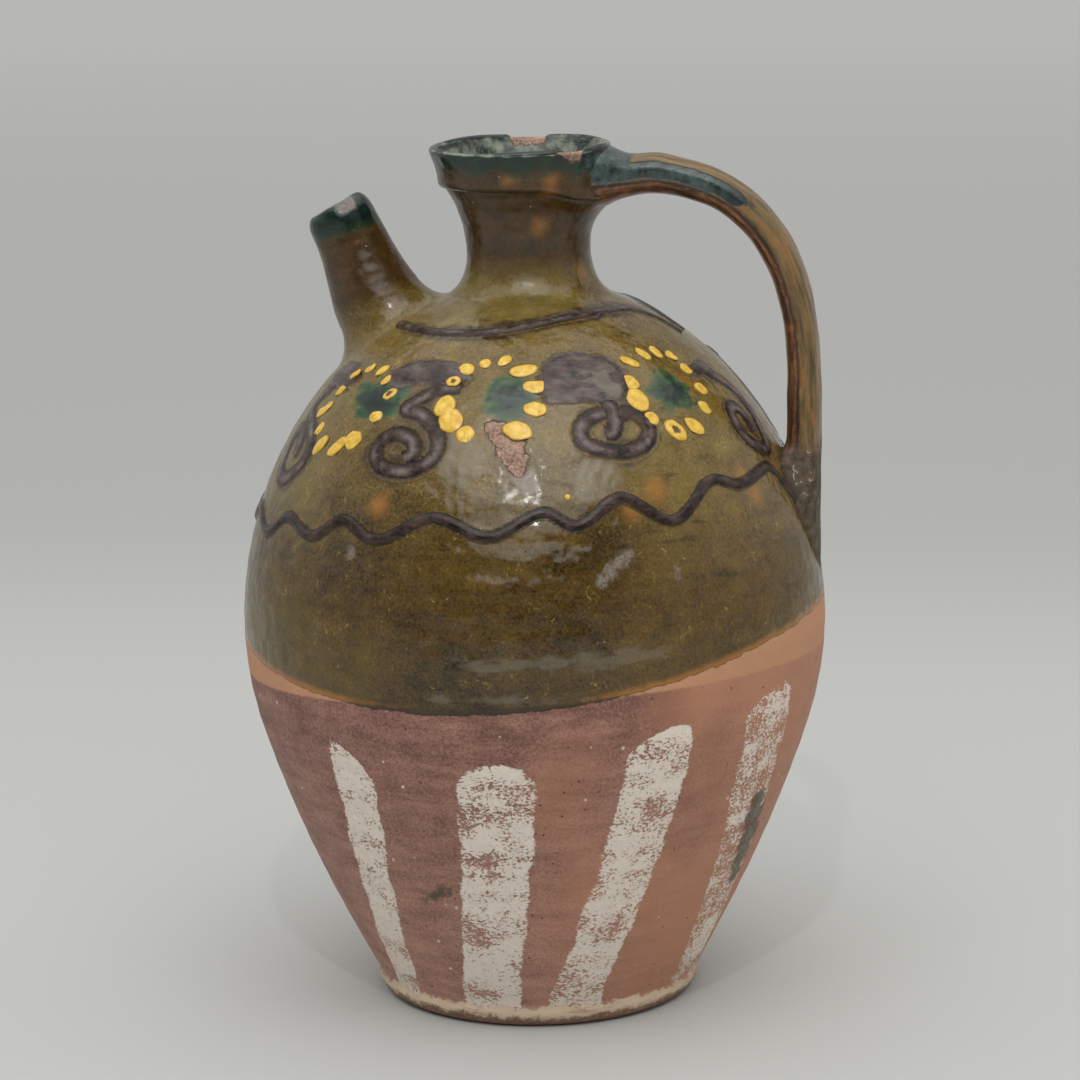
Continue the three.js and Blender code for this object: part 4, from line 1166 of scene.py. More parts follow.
def clay_coats(tree, at):
    """Red earthenware as it left the kiln bare: buff where nothing covers it, a brushed red-brown wash below, white
    slip stripes dabbed on with a dry brush, and a cream band worn away round the foot."""
    height = add(tree, "ShaderNodeSeparateXYZ", {"Vector": at}, "Z")
    flat_at = add(tree, "ShaderNodeVectorMath", {0: at, 1: (1, 1, 6)}, operation="MULTIPLY")
    dabbed_at = add(tree, "ShaderNodeVectorMath", {0: at, 1: (1, 1, 1.6)}, operation="MULTIPLY")
    grain, mottle, clouds, ragged, brushed, brush = (
        add(tree, "ShaderNodeTexNoise", dict(zip(NOISE_INPUTS, (place, per(size), detail, rough))), "Fac")
        for place, size, detail, rough in (
            (at, 0.9, 3.0, 0.6), (at, 11, 6.0, 0.6), (at, 60, 2.0, 0.5), (at, 3, 6.0, 0.65),
            (flat_at, 26, 5.0, 0.6), (dabbed_at, 1.3, 4.0, 0.7),
        )
    )
    fine = add(tree, "ShaderNodeMath", {0: grain, 1: 0.22}, operation="MULTIPLY")
    buff = add(tree, "ShaderNodeMix", {0: mottle, 6: paint("#CE9873"), 7: paint("#B58666")}, **COLOUR_MIX)
    coat = (buff, 0.8, fine)

    shade = brushed
    for part, weight in ((mottle, 0.7), (grain, 1.3), (height, -3.6)):
        shade = add(tree, "ShaderNodeMath", {0: part, 1: weight, 2: shade}, operation="MULTIPLY_ADD")
    shade = add(tree, "ShaderNodeMapRange", {"Value": shade, "From Min": 0.86, "From Max": 1.66})
    wash = add(tree, "ShaderNodeMix", {0: shade, 6: paint("#714A3F"), 7: paint("#BA8C7A")}, **COLOUR_MIX)
    to_handle = {0: height.node.outputs["X"], 1: 6.0, 2: clouds}
    to_handle = add(tree, "ShaderNodeMath", to_handle, operation="MULTIPLY_ADD")
    warm = add(tree, "ShaderNodeMapRange", {"Value": to_handle, "From Min": 0.6, "From Max": 0.95, "To Max": 0.8})
    lime = specks(tree, at, 5, 0.75, 0.25)
    pits = specks(tree, at, 4.2, 0.5, 0.4)
    scored = scratches(tree, at, 13)
    for cover, code in ((warm, "#BE8565"), (pits, "#4A332C"), (scored, "#5B3F36"), (lime, "#D8C3AE")):
        wash = add(tree, "ShaderNodeMix", {0: cover, 6: wash, 7: paint(code)}, **COLOUR_MIX)
    pitted = add(tree, "ShaderNodeMath", {0: pits, 1: -0.15, 2: fine}, operation="MULTIPLY_ADD")

    bands = {"W": height, "Scale": per(9), "Detail": 2.0}
    bands = add(tree, "ShaderNodeTexNoise", bands, "Fac", noise_dimensions="1D")
    wear = add(tree, "ShaderNodeAttribute", {}, "Fac", attribute_name="stripe_wear")
    thin = add(tree, "ShaderNodeMath", {0: bands, 1: 0.5, 2: mottle}, operation="MULTIPLY_ADD")
    thin = {"Value": thin, "From Min": 0.55, "From Max": 0.95, "To Min": -0.12, "To Max": 0.14}
    thin = add(tree, "ShaderNodeMapRange", thin)
    thin = add(tree, "ShaderNodeMath", {0: wear, 1: 0.2, 2: thin}, operation="MULTIPLY_ADD")
    held = add(tree, "ShaderNodeMath", {0: brush, 1: thin}, operation="SUBTRACT")
    held = add(tree, "ShaderNodeMapRange", {"Value": held, "From Min": 0.34, "From Max": 0.38}, **SOFT_STEP)
    torn = add(tree, "ShaderNodeMix", {0: 0.6, 2: ragged, 3: brush})
    striped = cover_of(tree, "striped", torn, 3.4, 0.35)
    striped = add(tree, "ShaderNodeMath", {0: striped, 1: held}, operation="MULTIPLY")
    white = add(tree, "ShaderNodeMix", {0: ragged, 6: paint("#F8EEE2"), 7: paint("#D8C9BA")}, **COLOUR_MIX)
    raised = add(tree, "ShaderNodeMath", {0: grain, 1: 0.16, 2: 0.12}, operation="MULTIPLY_ADD")

    foot = add(tree, "ShaderNodeMath", {0: ragged, 1: mottle}, operation="ADD")
    foot = add(tree, "ShaderNodeMath", {0: foot, 1: 7 * MM, 2: height}, operation="MULTIPLY_ADD")
    band_top, band_foot, grime = (
        add(tree, "ShaderNodeMapRange", {"Value": foot, "From Min": none * MM, "From Max": full * MM}, **SOFT_STEP)
        for none, full in ((15.6, 14.3), (9.8, 11.2), (12.2, 10.4))
    )
    banded = add(tree, "ShaderNodeMath", {0: band_top, 1: band_foot}, operation="MULTIPLY")
    rubbed = add(tree, "ShaderNodeMapRange", {"Value": brushed, "From Min": 0.38, "From Max": 0.5, "To Min": 0.35})
    banded = add(tree, "ShaderNodeMath", {0: banded, 1: rubbed}, operation="MULTIPLY")
    cream = add(tree, "ShaderNodeMix", {0: mottle, 6: paint("#EAD8BE"), 7: paint("#BFA586")}, **COLOUR_MIX)
    caught = {"Value": brush, "From Min": 0.4, "From Max": 0.52, "To Min": 0.1, "To Max": 0.75}
    caught = add(tree, "ShaderNodeMapRange", caught)
    grime = add(tree, "ShaderNodeMath", {0: grime, 1: caught}, operation="MULTIPLY")

    for cover, top in (
        (cover_of(tree, "washed", ragged, 0.9, 0.5), (wash, 0.62, pitted)),
        (striped, (white, 0.85, raised)),
        (banded, (cream, 0.8, fine)),
        (grime, (paint("#6C5946"), 0.8, fine)),
        (cover_of(tree, "smudged", ragged, 4, 1.3, 0.82), (paint("#4B4636"), 0.7, fine)),
    ):
        coat = over(tree, cover, top, coat)
    return coat


def washed_earthenware():
    """Terracotta fired bare under a brushed wash: dull, faintly streaked, pitted and flecked with lime."""
    material, tree, at = new_finish("washed_earthenware")
    fire(tree, clay_coats(tree, at), 1.5)
    return material


def olive_coat(tree, at):
    """Clear lead glaze turned olive brown by the red clay under it. Slow waves and a fine peel in its skin break the
    light up, and streaks from the throwing, grain, gold flecks, pits and scratches show through."""
    height = add(tree, "ShaderNodeSeparateXYZ", {"Vector": at}, "Z")
    flat_at = add(tree, "ShaderNodeVectorMath", {0: at, 1: (1, 1, 4.5)}, operation="MULTIPLY")
    clouds, mottle, grain, streaks, waves, peel = (
        add(tree, "ShaderNodeTexNoise", dict(zip(NOISE_INPUTS, (place, per(size), detail, rough))), "Fac")
        for place, size, detail, rough in (
            (at, 52, 3.0, 0.5), (at, 9, 6.0, 0.62), (at, 1, 4.0, 0.75), (flat_at, 20, 6.0, 0.62),
            (at, 17, 2.5, 0.5), (at, 5.8, 1.0, 0.5),
        )
    )
    depth = clouds
    for part, weight in ((mottle, 0.8), (streaks, 0.5), (grain, 1.5)):
        depth = add(tree, "ShaderNodeMath", {0: part, 1: weight, 2: depth}, operation="MULTIPLY_ADD")
    # The glaze turns lighter towards the handle's side.
    lighter_to_handle = {"Value": height.node.outputs["X"], "From Min": 30 * MM, "From Max": 90 * MM, "To Max": 0.2}
    lighter_to_handle = add(tree, "ShaderNodeMapRange", lighter_to_handle)
    depth = add(tree, "ShaderNodeMath", {0: depth, 1: lighter_to_handle}, operation="ADD")
    depth = add(tree, "ShaderNodeMapRange", {"Value": depth, "From Min": 1.5, "From Max": 2.3})
    # The colours grow lighter up the shoulder: painted light from above.
    shoulder = {"Value": height, "From Min": 160 * MM, "From Max": 210 * MM}
    shoulder = add(tree, "ShaderNodeMapRange", shoulder, **SOFT_STEP)
    dark, light = (
        add(tree, "ShaderNodeMix", {0: shoulder, 6: paint(belly), 7: paint(top)}, **COLOUR_MIX)
        for belly, top in (("#1F1404", "#3C2D0F"), ("#6E5420", "#8A733A"))
    )
    olive = add(tree, "ShaderNodeMix", {0: depth, 6: dark, 7: light}, **COLOUR_MIX)
    greenish = add(tree, "ShaderNodeMapRange", {"Value": clouds, "From Min": 0.5, "From Max": 0.68, "To Max": 0.45})
    blotch = add(tree, "ShaderNodeMapRange", {"Value": streaks, "From Min": 0.38, "From Max": 0.28, "To Max": 0.55})
    gold = add(tree, "ShaderNodeMath", {0: grain, 1: mottle}, operation="ADD")
    gold = add(tree, "ShaderNodeMapRange", {"Value": gold, "From Min": 1.2, "From Max": 1.34, "To Max": 0.8})
    gold = add(tree, "ShaderNodeMath", {0: gold, 1: scratches(tree, at, 11)}, operation="MAXIMUM")
    pits = specks(tree, at, 5, 0.4, 0.35)
    for cover, code in ((greenish, "#5A5218"), (blotch, "#241809"), (gold, "#A08A4A"), (pits, "#1C130A")):
        olive = add(tree, "ShaderNodeMix", {0: cover, 6: olive, 7: paint(code)}, **COLOUR_MIX)

    relief = add(tree, "ShaderNodeMath", {0: waves, 1: 1.1}, operation="MULTIPLY")
    for part, weight in ((peel, 0.7), (mottle, 0.14), (grain, 0.03), (pits, -0.12)):
        relief = add(tree, "ShaderNodeMath", {0: part, 1: weight, 2: relief}, operation="MULTIPLY_ADD")
    gloss = add(tree, "ShaderNodeMath", {0: clouds, 1: mottle}, operation="ADD")
    gloss = {"Value": gloss, "From Min": 0.8, "From Max": 1.25, "To Min": 0.05, "To Max": 0.3}
    return olive, add(tree, "ShaderNodeMapRange", gloss), relief


def violet_coat(tree, at):
    """Manganese slip under the glaze: dark violet brown, greyed in streaks where the glaze crawled."""
    flat_at = add(tree, "ShaderNodeVectorMath", {0: at, 1: (1, 1, 2.5)}, operation="MULTIPLY")
    mottle, streaks = (
        add(tree, "ShaderNodeTexNoise", dict(zip(NOISE_INPUTS, (place, per(size), detail, 0.65))), "Fac")
        for place, size, detail in ((at, 6, 6.0), (flat_at, 5, 5.0))
    )
    shade = add(tree, "ShaderNodeMath", {0: mottle, 1: streaks}, operation="ADD")
    shade = add(tree, "ShaderNodeMapRange", {"Value": shade, "From Min": 0.88, "From Max": 1.26})
    violet = add(tree, "ShaderNodeMix", {0: shade, 6: paint("#1A0E0A"), 7: paint("#533F38")}, **COLOUR_MIX)
    gloss = {"Value": mottle, "From Min": 0.35, "From Max": 0.7, "To Min": 0.2, "To Max": 0.42}
    relief = add(tree, "ShaderNodeMath", {0: streaks, 1: 0.3}, operation="MULTIPLY")
    return violet, add(tree, "ShaderNodeMapRange", gloss), relief


def blue_coat(tree, at):
    """Copper glaze run thick and dark blue-green, with a broken grey skin."""
    broken = {"Vector": at, "Scale": per(4), "Detail": 6.0, "Roughness": 0.7}
    broken = add(tree, "ShaderNodeTexNoise", broken, "Fac")
    shade = add(tree, "ShaderNodeMapRange", {"Value": broken, "From Min": 0.36, "From Max": 0.7})
    blue = add(tree, "ShaderNodeMix", {0: shade, 6: paint("#15211F"), 7: paint("#4E6460")}, **COLOUR_MIX)
    return blue, 0.2, add(tree, "ShaderNodeMath", {0: broken, 1: 0.25}, operation="MULTIPLY")


def olive_lead_glaze():
    """The olive glaze with all that lies in it: copper green run into the rim, the spout and the flowers, violet slip,
    orange spots, scuffs and flakes. At its lower edge it thins to orange over bare clay and pools dark over the
    wash."""
    material, tree, at = new_finish("olive_lead_glaze")
    flat_at = add(tree, "ShaderNodeVectorMath", {0: at, 1: (1, 1, 2.6)}, operation="MULTIPLY")
    ragged, grain, dragged = (
        add(tree, "ShaderNodeTexNoise", dict(zip(NOISE_INPUTS, (place, per(size), detail, rough))), "Fac")
        for place, size, detail, rough in ((at, 5, 6.0, 0.6), (at, 0.8, 2.0, 0.5), (flat_at, 9, 6.0, 0.6))
    )
    coat = olive_coat(tree, at)
    gloss, relief = coat[1:]

    brown = add(tree, "ShaderNodeMath", {0: dragged, 1: ragged}, operation="ADD")
    brown = add(tree, "ShaderNodeMath", {0: grain, 1: 0.8, 2: brown}, operation="MULTIPLY_ADD")
    brown = add(tree, "ShaderNodeMapRange", {"Value": brown, "From Min": 1.1, "From Max": 1.75})
    brown = add(tree, "ShaderNodeMix", {0: brown, 6: paint("#1E1107"), 7: paint("#533719")}, **COLOUR_MIX)
    flecks = specks(tree, at, 5, 0.45, 0.3)
    brown = add(tree, "ShaderNodeMix", {0: flecks, 6: brown, 7: paint("#A5854F")}, **COLOUR_MIX)
    browned = cover_of(tree, "browned", ragged, 5, 7, 0.86)
    dulled = add(tree, "ShaderNodeMath", {0: gloss, 1: 0.1}, operation="ADD")
    coat = over(tree, browned, (brown, dulled, relief), coat)
    rust = add(tree, "ShaderNodeMix", {0: ragged, 6: paint("#BE8038"), 7: paint("#96652C")}, **COLOUR_MIX)
    coat = over(tree, cover_of(tree, "rusted", ragged, 2.5, 3.6, 0.62), (rust, gloss, relief), coat)

    core = add(tree, "ShaderNodeAttribute", {}, "Fac", attribute_name="greened")
    core = add(tree, "ShaderNodeMath", {0: dragged, 1: 14, 2: core}, operation="MULTIPLY_ADD")
    core = add(tree, "ShaderNodeMapRange", {"Value": core, "From Min": 6, "From Max": 12.5}, **SOFT_STEP)
    green = add(tree, "ShaderNodeMix", {0: browned, 6: paint("#33572F"), 7: paint("#1E2A1A")}, **COLOUR_MIX)
    teal = add(tree, "ShaderNodeMapRange", {"Value": dragged, "From Min": 0.5, "From Max": 0.7, "To Max": 0.5})
    for cover, code in ((core, "#0D1E1B"), (teal, "#2A4C36")):
        green = add(tree, "ShaderNodeMix", {0: cover, 6: green, 7: paint(code)}, **COLOUR_MIX)
    torn = add(tree, "ShaderNodeMix", {0: 0.5, 2: dragged, 3: ragged})
    coat = over(tree, cover_of(tree, "greened", torn, 9, 1.6), (green, gloss, relief), coat)
    coat = over(tree, cover_of(tree, "blued", dragged, 4, 1.4), blue_coat(tree, at), coat)
    violet = violet_coat(tree, at)
    coat = over(tree, cover_of(tree, "stained", ragged, 2.4, 1.1, 0.8), (violet[0], gloss, relief), coat)
    # Pale grey painted over the smeared slip of the scrolls' heads: a painted sheen.
    painted_head_sheen = add(tree, "ShaderNodeMapRange", {"Value": dragged, "From Min": 0.45, "From Max": 0.66, "To Max": 0.45})
    painted_head_sheen = add(tree, "ShaderNodeMix", {0: painted_head_sheen, 6: violet[0], 7: paint("#857771")}, **COLOUR_MIX)
    coat = over(tree, cover_of(tree, "smeared", dragged, 3.4, 0.8), (painted_head_sheen, *violet[1:]), coat)

    scuff = {"Value": grain, "From Min": 0.3, "From Max": 0.62, "To Min": 0.25, "To Max": 0.85}
    scuff = add(tree, "ShaderNodeMapRange", scuff)
    scuff = {0: scuff, 1: cover_of(tree, "scuffed", ragged, 2.6, 1)}
    scuff = add(tree, "ShaderNodeMath", scuff, operation="MULTIPLY")
    flake = depth_of(tree, "flaked", grain, 0.6)
    crack = add(tree, "ShaderNodeMapRange", {"Value": flake, "From Min": -0.5, "From Max": 0.5}, **SOFT_STEP)
    for cover, code, roughness in (
        # Painted reflection: pale patches and bands of sheen on the glaze.
        (cover_of(tree, "painted_sheen", dragged, 5, 1.2, 0.37), "#827A6B", 0.4),
        # Real wear on the lips of rim and spout, and painted light inside the neck.
        (cover_of(tree, "wear_and_painted_light", ragged, 0.9, 0.3), "#87907F", 0.5),
        (scuff, "#8A7E78", 0.5),
        (crack, "#5C473A", 0.6),
    ):
        coat = over(tree, cover, (paint(code), roughness, relief), coat)

    bare = add(tree, "ShaderNodeMath", {0: grain, 1: ragged}, operation="ADD")
    bare = add(tree, "ShaderNodeMapRange", {"Value": bare, "From Min": 0.75, "From Max": 1.2})
    bare = add(tree, "ShaderNodeMix", {0: bare, 6: paint("#74574A"), 7: paint("#B69884")}, **COLOUR_MIX)
    rough = add(tree, "ShaderNodeMath", {0: grain, 1: 0.35, 2: -0.25}, operation="MULTIPLY_ADD")
    inset = add(tree, "ShaderNodeMath", {0: flake, 1: 0.45}, operation="SUBTRACT")
    inset = add(tree, "ShaderNodeMapRange", {"Value": inset, "From Min": -0.2, "From Max": 0.2})
    coat = over(tree, inset, (bare, 0.9, rough), coat)

    glazed = add(tree, "ShaderNodeAttribute", {}, "Fac", attribute_name="glazed")
    edge = add(tree, "ShaderNodeMath", {0: ragged, 1: 3, 2: glazed}, operation="MULTIPLY_ADD")
    edge = {"Value": edge, "From Min": 4.6, "From Max": 1.6, "To Max": 0.85}
    edge = add(tree, "ShaderNodeMapRange", edge, **SOFT_STEP)
    on_wash = cover_of(tree, "washed", ragged, 1.5, 1.2)
    thin = add(tree, "ShaderNodeMix", {0: on_wash, 6: paint("#A86F2A"), 7: paint("#2E2716")}, **COLOUR_MIX)
    coat = over(tree, edge, (thin, gloss, relief), coat)
    coat = over(tree, cover_of(tree, "glazed", ragged, 1.7, 0.3), coat, clay_coats(tree, at))
    fire(tree, coat, 1.52)
    return material


def streaked_lead_glaze():
    """The glaze on the pulled handle, streaked along its length: tan olive on its outer face, red brown below the
    crease on its side, with one run of copper blue-green along the upper edge."""
    material, tree, at = new_finish("streaked_lead_glaze")
    run, around = (add(tree, "ShaderNodeAttribute", {}, "Fac", attribute_name=name) for name in ("run", "around"))
    along = add(tree, "ShaderNodeMath", {0: run, 1: 0.09}, operation="MULTIPLY")
    across = add(tree, "ShaderNodeMath", {0: around, 1: 0.1}, operation="MULTIPLY")
    pulled_at = add(tree, "ShaderNodeCombineXYZ", {"X": along, "Y": across})
    ragged, pulled = (
        add(tree, "ShaderNodeTexNoise", dict(zip(NOISE_INPUTS, (place, scale, 6.0, 0.65))), "Fac")
        for place, scale in ((at, per(4)), (pulled_at, 0.55))
    )
    olive, gloss, relief = olive_coat(tree, at)

    streaks, flecks = (
        add(tree, "ShaderNodeMapRange", {"Value": pattern, "From Min": 0.35, "From Max": 0.65})
        for pattern in (pulled, ragged)
    )
    tan, red, dull = (
        add(tree, "ShaderNodeMix", {0: pattern, 6: paint(dark), 7: paint(light)}, **COLOUR_MIX)
        for pattern, dark, light in (
            (streaks, "#463820", "#8A7449"), (streaks, "#2E1C10", "#74492E"), (flecks, "#241C14", "#665848"),
        )
    )
    side = add(tree, "ShaderNodeMath", {0: around}, operation="ABSOLUTE")
    side = add(tree, "ShaderNodeMath", {0: ragged, 1: 14, 2: side}, operation="MULTIPLY_ADD")
    below = add(tree, "ShaderNodeMapRange", {"Value": side, "From Min": 101, "From Max": 108})
    flamed = add(tree, "ShaderNodeMath", {0: pulled, 1: ragged}, operation="ADD")
    flamed = add(tree, "ShaderNodeMapRange", {"Value": flamed, "From Min": 0.99, "From Max": 1.16, "To Max": 0.65})
    speckled = add(tree, "ShaderNodeMapRange", {"Value": ragged, "From Min": 0.42, "From Max": 0.3, "To Max": 0.7})
    crease = add(tree, "ShaderNodeMath", {0: side, 1: 107}, operation="SUBTRACT")
    crease = add(tree, "ShaderNodeMath", {0: crease}, operation="ABSOLUTE")
    crease = add(tree, "ShaderNodeMapRange", {"Value": crease, "From Min": 7, "From Max": 1, "To Max": 0.85})
    height = add(tree, "ShaderNodeSeparateXYZ", {"Vector": at}, "Z")
    joined = {"Value": height, "From Min": 200 * MM, "From Max": 193 * MM, "To Max": 0.85}
    joined = add(tree, "ShaderNodeMapRange", joined)
    cracks = add(tree, "ShaderNodeMapRange", {"Value": scratches(tree, at, 3.4), "From Max": 0.4})
    dull = add(tree, "ShaderNodeMix", {0: cracks, 6: dull, 7: paint("#B5ABA0")}, **COLOUR_MIX)
    colour = tan
    for cover, top in (
        (below, red), (flamed, paint("#946038")), (speckled, olive), (crease, paint("#23170C")), (joined, dull),
    ):
        colour = add(tree, "ShaderNodeMix", {0: cover, 6: colour, 7: top}, **COLOUR_MIX)
    dulled = add(tree, "ShaderNodeMath", {0: joined, 1: 0.5, 2: gloss}, operation="MULTIPLY_ADD")
    dulled = add(tree, "ShaderNodeMath", {0: dulled, 1: 0.14}, operation="ADD")
    rough = add(tree, "ShaderNodeMath", {0: joined, 1: ragged}, operation="MULTIPLY")
    rough = add(tree, "ShaderNodeMath", {0: rough, 1: 0.9, 2: relief}, operation="MULTIPLY_ADD")

    blue, blue_gloss, blue_relief = blue_coat(tree, at)
    pool = add(tree, "ShaderNodeAttribute", {}, "Fac", attribute_name="pooled")
    pool = add(tree, "ShaderNodeMapRange", {"Value": pool, "From Min": -3, "From Max": 2, "To Max": 0.8})
    blue = add(tree, "ShaderNodeMix", {0: pool, 6: blue, 7: paint("#14201F")}, **COLOUR_MIX)
    blued = cover_of(tree, "blued", ragged, 1.5, 0.5)
    fire(tree, over(tree, blued, (blue, blue_gloss, blue_relief), (colour, dulled, rough)), 1.5)
    return material


def brown_slip():
    """A trail of manganese slip: its edges thin away into the olive glaze it lies on, darkest just inside them."""
    material, tree, at = new_finish("manganese_slip")
    ragged, streaked = (
        add(tree, "ShaderNodeTexNoise", dict(zip(NOISE_INPUTS, (at, per(size), detail, 0.6))), "Fac")
        for size, detail in ((3, 5.0), (7, 4.0))
    )
    across, greyed = (add(tree, "ShaderNodeAttribute", {}, "Fac", attribute_name=name) for name in ("across", "greyed"))
    uneven = add(tree, "ShaderNodeMath", {0: ragged, 1: 0.5, 2: across}, operation="MULTIPLY_ADD")
    violet, gloss, relief = violet_coat(tree, at)
    rim = add(tree, "ShaderNodeMapRange", {"Value": uneven, "From Min": 0.7, "From Max": 1.0, "To Max": 0.8})
    streaked = add(tree, "ShaderNodeMapRange", {"Value": streaked, "From Min": 0.44, "From Max": 0.66, "To Max": 0.6})
    # A pale highlight is painted along the crown, broken into streaks.
    crown = add(tree, "ShaderNodeMapRange", {"Value": uneven, "From Min": 0.72, "From Max": 0.3})
    for thinning in (streaked, greyed):
        crown = add(tree, "ShaderNodeMath", {0: crown, 1: thinning}, operation="MULTIPLY")
    for cover, code in ((rim, "#1E120F"), (crown, "#7A6C69")):
        violet = add(tree, "ShaderNodeMix", {0: cover, 6: violet, 7: paint(code)}, **COLOUR_MIX)
    cover = add(tree, "ShaderNodeMapRange", {"Value": uneven, "From Min": 1.24, "From Max": 0.84}, **SOFT_STEP)
    fire(tree, over(tree, cover, (violet, gloss, relief), olive_coat(tree, at)), 1.38)
    return material


def yellow_slip():
    """Antimony yellow slip dabbed on and glazed over: bright in the middle of each drop, brown where it thins at the
    edge. A few drops have a brown dab in the middle."""
    material, tree, at = new_finish("antimony_yellow_slip")
    mottle = {"Vector": at, "Scale": per(2.2), "Detail": 4.0, "Roughness": 0.6}
    mottle = add(tree, "ShaderNodeTexNoise", mottle, "Fac")
    from_middle, brown = (
        add(tree, "ShaderNodeAttribute", {}, "Fac", attribute_name=name) for name in ("from_middle", "brown_dab")
    )
    edge = add(tree, "ShaderNodeMath", {0: mottle, 1: 0.4, 2: from_middle}, operation="MULTIPLY_ADD")
    edge = add(tree, "ShaderNodeMapRange", {"Value": edge, "From Min": 1.02, "From Max": 1.2})
    dab = add(tree, "ShaderNodeMath", {0: mottle, 1: 0.5, 2: from_middle}, operation="MULTIPLY_ADD")
    dab = add(tree, "ShaderNodeMapRange", {"Value": dab, "From Min": 0.72, "From Max": 0.56})
    dab = add(tree, "ShaderNodeMath", {0: dab, 1: brown}, operation="MULTIPLY")
    core = add(tree, "ShaderNodeMapRange", {"Value": mottle, "From Min": 0.35, "From Max": 0.65})
    colour = add(tree, "ShaderNodeMix", {0: core, 6: paint("#D2A028"), 7: paint("#ECCB5A")}, **COLOUR_MIX)
    for cover, code in ((edge, "#94702A"), (dab, "#5E431C")):
        colour = add(tree, "ShaderNodeMix", {0: cover, 6: colour, 7: paint(code)}, **COLOUR_MIX)
    relief = add(tree, "ShaderNodeMath", {0: mottle, 1: 0.12}, operation="MULTIPLY")
    fire(tree, (colour, 0.24, relief), 1.5)
    return material


GLAZE = olive_lead_glaze()
STREAKED_GLAZE = streaked_lead_glaze()
BARE_CLAY = washed_earthenware()
BROWN_SLIP = brown_slip()
YELLOW_SLIP = yellow_slip()

dressed = []


def dress(piece, finish, slot, *nodes):
    """Puts a finish on a piece, unless its recipe did, and notes its slot and the nodes it replaces."""
    if finish:
        piece.data.materials.clear()
        piece.data.materials.append(finish)
    dressed.append((piece, slot, nodes))


dress(make_lower_body(), BARE_CLAY, "terracotta", "lower_body")
dress(make_upper_body(), GLAZE, "olive_glaze", "upper_body")
dress(make_neck(), GLAZE, "olive_glaze", "neck")
dress(make_spout(), GLAZE, "olive_glaze", "spout")
dress(make_handle(), STREAKED_GLAZE, "olive_glaze", "handle")

slip_bead = slip_bead_recipe()

# The half width and rise of each kind of trail in millimetres, and how strong the highlight painted on its crown is
WAVE_BEAD = (2.6, 1.15, 0.1)
SWAG_BEAD = (2.6, 0.8, 1.5)
SCROLL_BEAD = (3.9, 0.52, 1.8)
DROP_HEIGHT = 1.1


def trail(node, runs, bead):
    """A trail of slip that replaces one node of the construction."""
    half_width, rise, greyed = bead
    path = slip_path(f"{node}_slip", runs, greyed)
    piece = follow_recipe(path, slip_bead, half_width=half_width * MM, rise=rise * MM, finish=BROWN_SLIP)
    dress(piece, None, "brown_slip", node)


trail("belly_wave", [wave_run()], WAVE_BEAD)
for side_name, on_back in (("front", False), ("back", True)):
    trail(f"swag_{side_name}", [swag_run(on_back)], SWAG_BEAD)
    for number in range(4):
        trail(f"scroll_{side_name}_{number + 1}", scroll_runs(number, on_back), SCROLL_BEAD)

petals = petal_recipe()
for side_name, on_back in (("front", False), ("back", True)):
    points = petal_points(f"petals_{side_name}", on_back)
    drops = follow_recipe(points, petals, drop_height=DROP_HEIGHT * MM, finish=YELLOW_SLIP)
    dress(drops, None, "yellow_slip")

for piece, slot, nodes in dressed:
    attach(piece, "root")
    if nodes:
        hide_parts(*nodes)


# The studio: a flat pale floor, soft light from above and all round, and the photograph's camera

FLOOR_REACH = 40.0

# The camera as fitted to the photograph, in degrees, in millimetres and, from the focal length on, in its pixels
CAMERA_AZIMUTH = 8
CAMERA_ELEVATION = 11.28
CAMERA_ROLL = -0.77
CAMERA_DISTANCE = 1232.4
AIM_HEIGHT = 150
FOCAL_LENGTH = 3500.0
AIM_RIGHT = 6.2
AIM_UP = 30.1
PHOTO_WIDTH = 1080
SENSOR_WIDTH = 36


def studio_paper():
    """Pale grey paper, fibres too fine to show, a shade darker behind the jug, with painted light far off."""
    material, tree, at = new_finish("studio_paper")
    away = add(tree, "ShaderNodeSeparateXYZ", {"Vector": at}, "Y")
    behind = add(tree, "ShaderNodeMapRange", {"Value": away, "From Min": 0.42, "From Max": 0.95}, **SOFT_STEP)
    # Painted light: the paper far off is painted lighter where the lamps' light falls away.
    far = add(tree, "ShaderNodeMapRange", {"Value": away, "From Min": 1, "From Max": 7})
    colour = paint("#BDBFBE")
    for cover, code in ((behind, "#B2B4B4"), (far, "#C3C5C5")):
        colour = add(tree, "ShaderNodeMix", {0: cover, 6: colour, 7: paint(code)}, **COLOUR_MIX)
    fibre = add(tree, "ShaderNodeTexNoise", {"Vector": at, "Scale": per(3)}, "Fac")
    relief = add(tree, "ShaderNodeMath", {0: fibre, 1: 0.05}, operation="MULTIPLY")
    fire(tree, (colour, 0.9, relief), 1.45)
    return material


def lay_floor():
    corners = [(x * FLOOR_REACH, y * FLOOR_REACH, 0) for x, y in ((-1, -1), (1, -1), (1, 1), (-1, 1))]
    mesh = bpy.data.meshes.new("studio_floor")
    mesh.from_pydata(corners, [], [(0, 1, 2, 3)])
    floor = set_out("studio_floor", mesh)
    mesh.materials.append(studio_paper())


def hang_lamp(name, place, size, power):
    """A round lamp of a size in metres, turned to the middle of the jug."""
    lamp = bpy.data.lights.new(name, "AREA")
    lamp.shape = "DISK"
    lamp.size = size
    lamp.energy = power
    hung = set_out(name, lamp)
    hung.location = place
    hung.rotation_euler = (Vector((0, 0, AIM_HEIGHT * MM)) - Vector(place)).to_track_quat("-Z", "Y").to_euler()


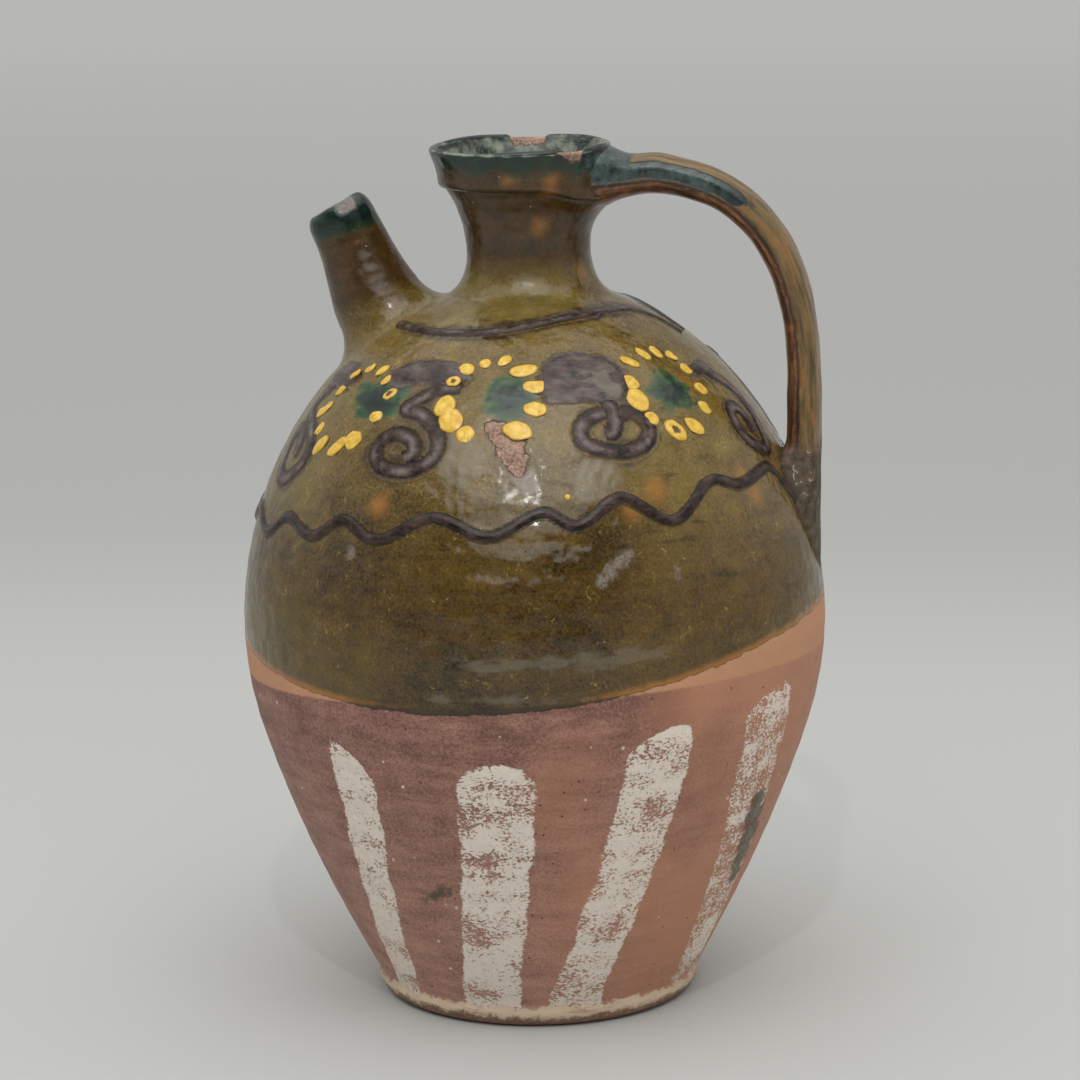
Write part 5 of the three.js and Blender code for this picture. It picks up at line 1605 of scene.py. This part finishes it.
def set_camera():
    """The photograph's camera: it looks past the jug's middle by a little, so that the jug sits as framed."""
    azimuth, elevation, roll = (math.radians(turn) for turn in (CAMERA_AZIMUTH, CAMERA_ELEVATION, CAMERA_ROLL))
    level = math.cos(elevation)
    towards = Vector((math.sin(azimuth) * level, -math.cos(azimuth) * level, math.sin(elevation)))
    right = Vector((math.cos(azimuth), math.sin(azimuth), 0))
    up = towards.cross(right)
    across = math.cos(roll) * right + math.sin(roll) * up
    upward = -math.sin(roll) * right + math.cos(roll) * up
    ahead = (-towards + across * (AIM_RIGHT / FOCAL_LENGTH) + upward * (AIM_UP / FOCAL_LENGTH)).normalized()
    across = (across - across.dot(ahead) * ahead).normalized()
    upward = across.cross(ahead)
    lens = bpy.data.cameras.new("camera")
    lens.sensor_width = SENSOR_WIDTH
    lens.lens = SENSOR_WIDTH * FOCAL_LENGTH / PHOTO_WIDTH
    camera = set_out("camera", lens)
    place = Vector((0, 0, AIM_HEIGHT * MM)) + towards * CAMERA_DISTANCE * MM
    turn = Matrix((across, upward, -ahead)).transposed()
    camera.matrix_world = Matrix.Translation(place) @ turn.to_4x4()
    bpy.context.scene.camera = camera


def light_room():
    """Even light from all round: brightest from a pale ceiling, dimmest from low down in front, so that the glaze
    reflects both."""
    world = bpy.data.worlds.new("soft_room")
    world.use_nodes = True
    tree = world.node_tree
    tree.nodes.clear()
    up = add(tree, "ShaderNodeSeparateXYZ", {"Vector": add(tree, "ShaderNodeTexCoord", {}, "Generated")}, "Z")
    ceiling = add(tree, "ShaderNodeMapRange", {"Value": up, "From Min": 0.64, "From Max": 0.74}, **SOFT_STEP)
    back = {"Value": up.node.outputs["Y"], "From Min": -0.9, "From Max": 0.3, "To Min": 0.12, "To Max": 0.45}
    back = add(tree, "ShaderNodeMapRange", back)
    aside = add(tree, "ShaderNodeMath", {0: up.node.outputs["X"]}, operation="ABSOLUTE")
    aside = add(tree, "ShaderNodeMapRange", {"Value": aside, "From Min": 0.5, "From Max": 0.95, "To Max": 0.3})
    walls = add(tree, "ShaderNodeMath", {0: back, 1: aside}, operation="ADD")
    low = add(tree, "ShaderNodeMapRange", {"Value": up, "From Min": 0.2, "From Max": 0.02}, **SOFT_STEP)
    walls = add(tree, "ShaderNodeMix", {0: low, 2: walls, 3: 0.46})
    level = add(tree, "ShaderNodeMix", {0: ceiling, 2: walls, 3: 1.3})
    light = add(tree, "ShaderNodeBackground", {"Color": paint("#FAF8F4"), "Strength": level})
    add(tree, "ShaderNodeOutputWorld", {"Surface": light})
    bpy.context.scene.world = world


lay_floor()
light_room()
hang_lamp("key_softbox", (0.1, -1.05, 1.5), 1.8, 12)
hang_lamp("ceiling_spot", (0.11, -1.2, 1.3), 0.04, 2.5)
set_camera()
bpy.context.scene.view_settings.view_transform = "Standard"
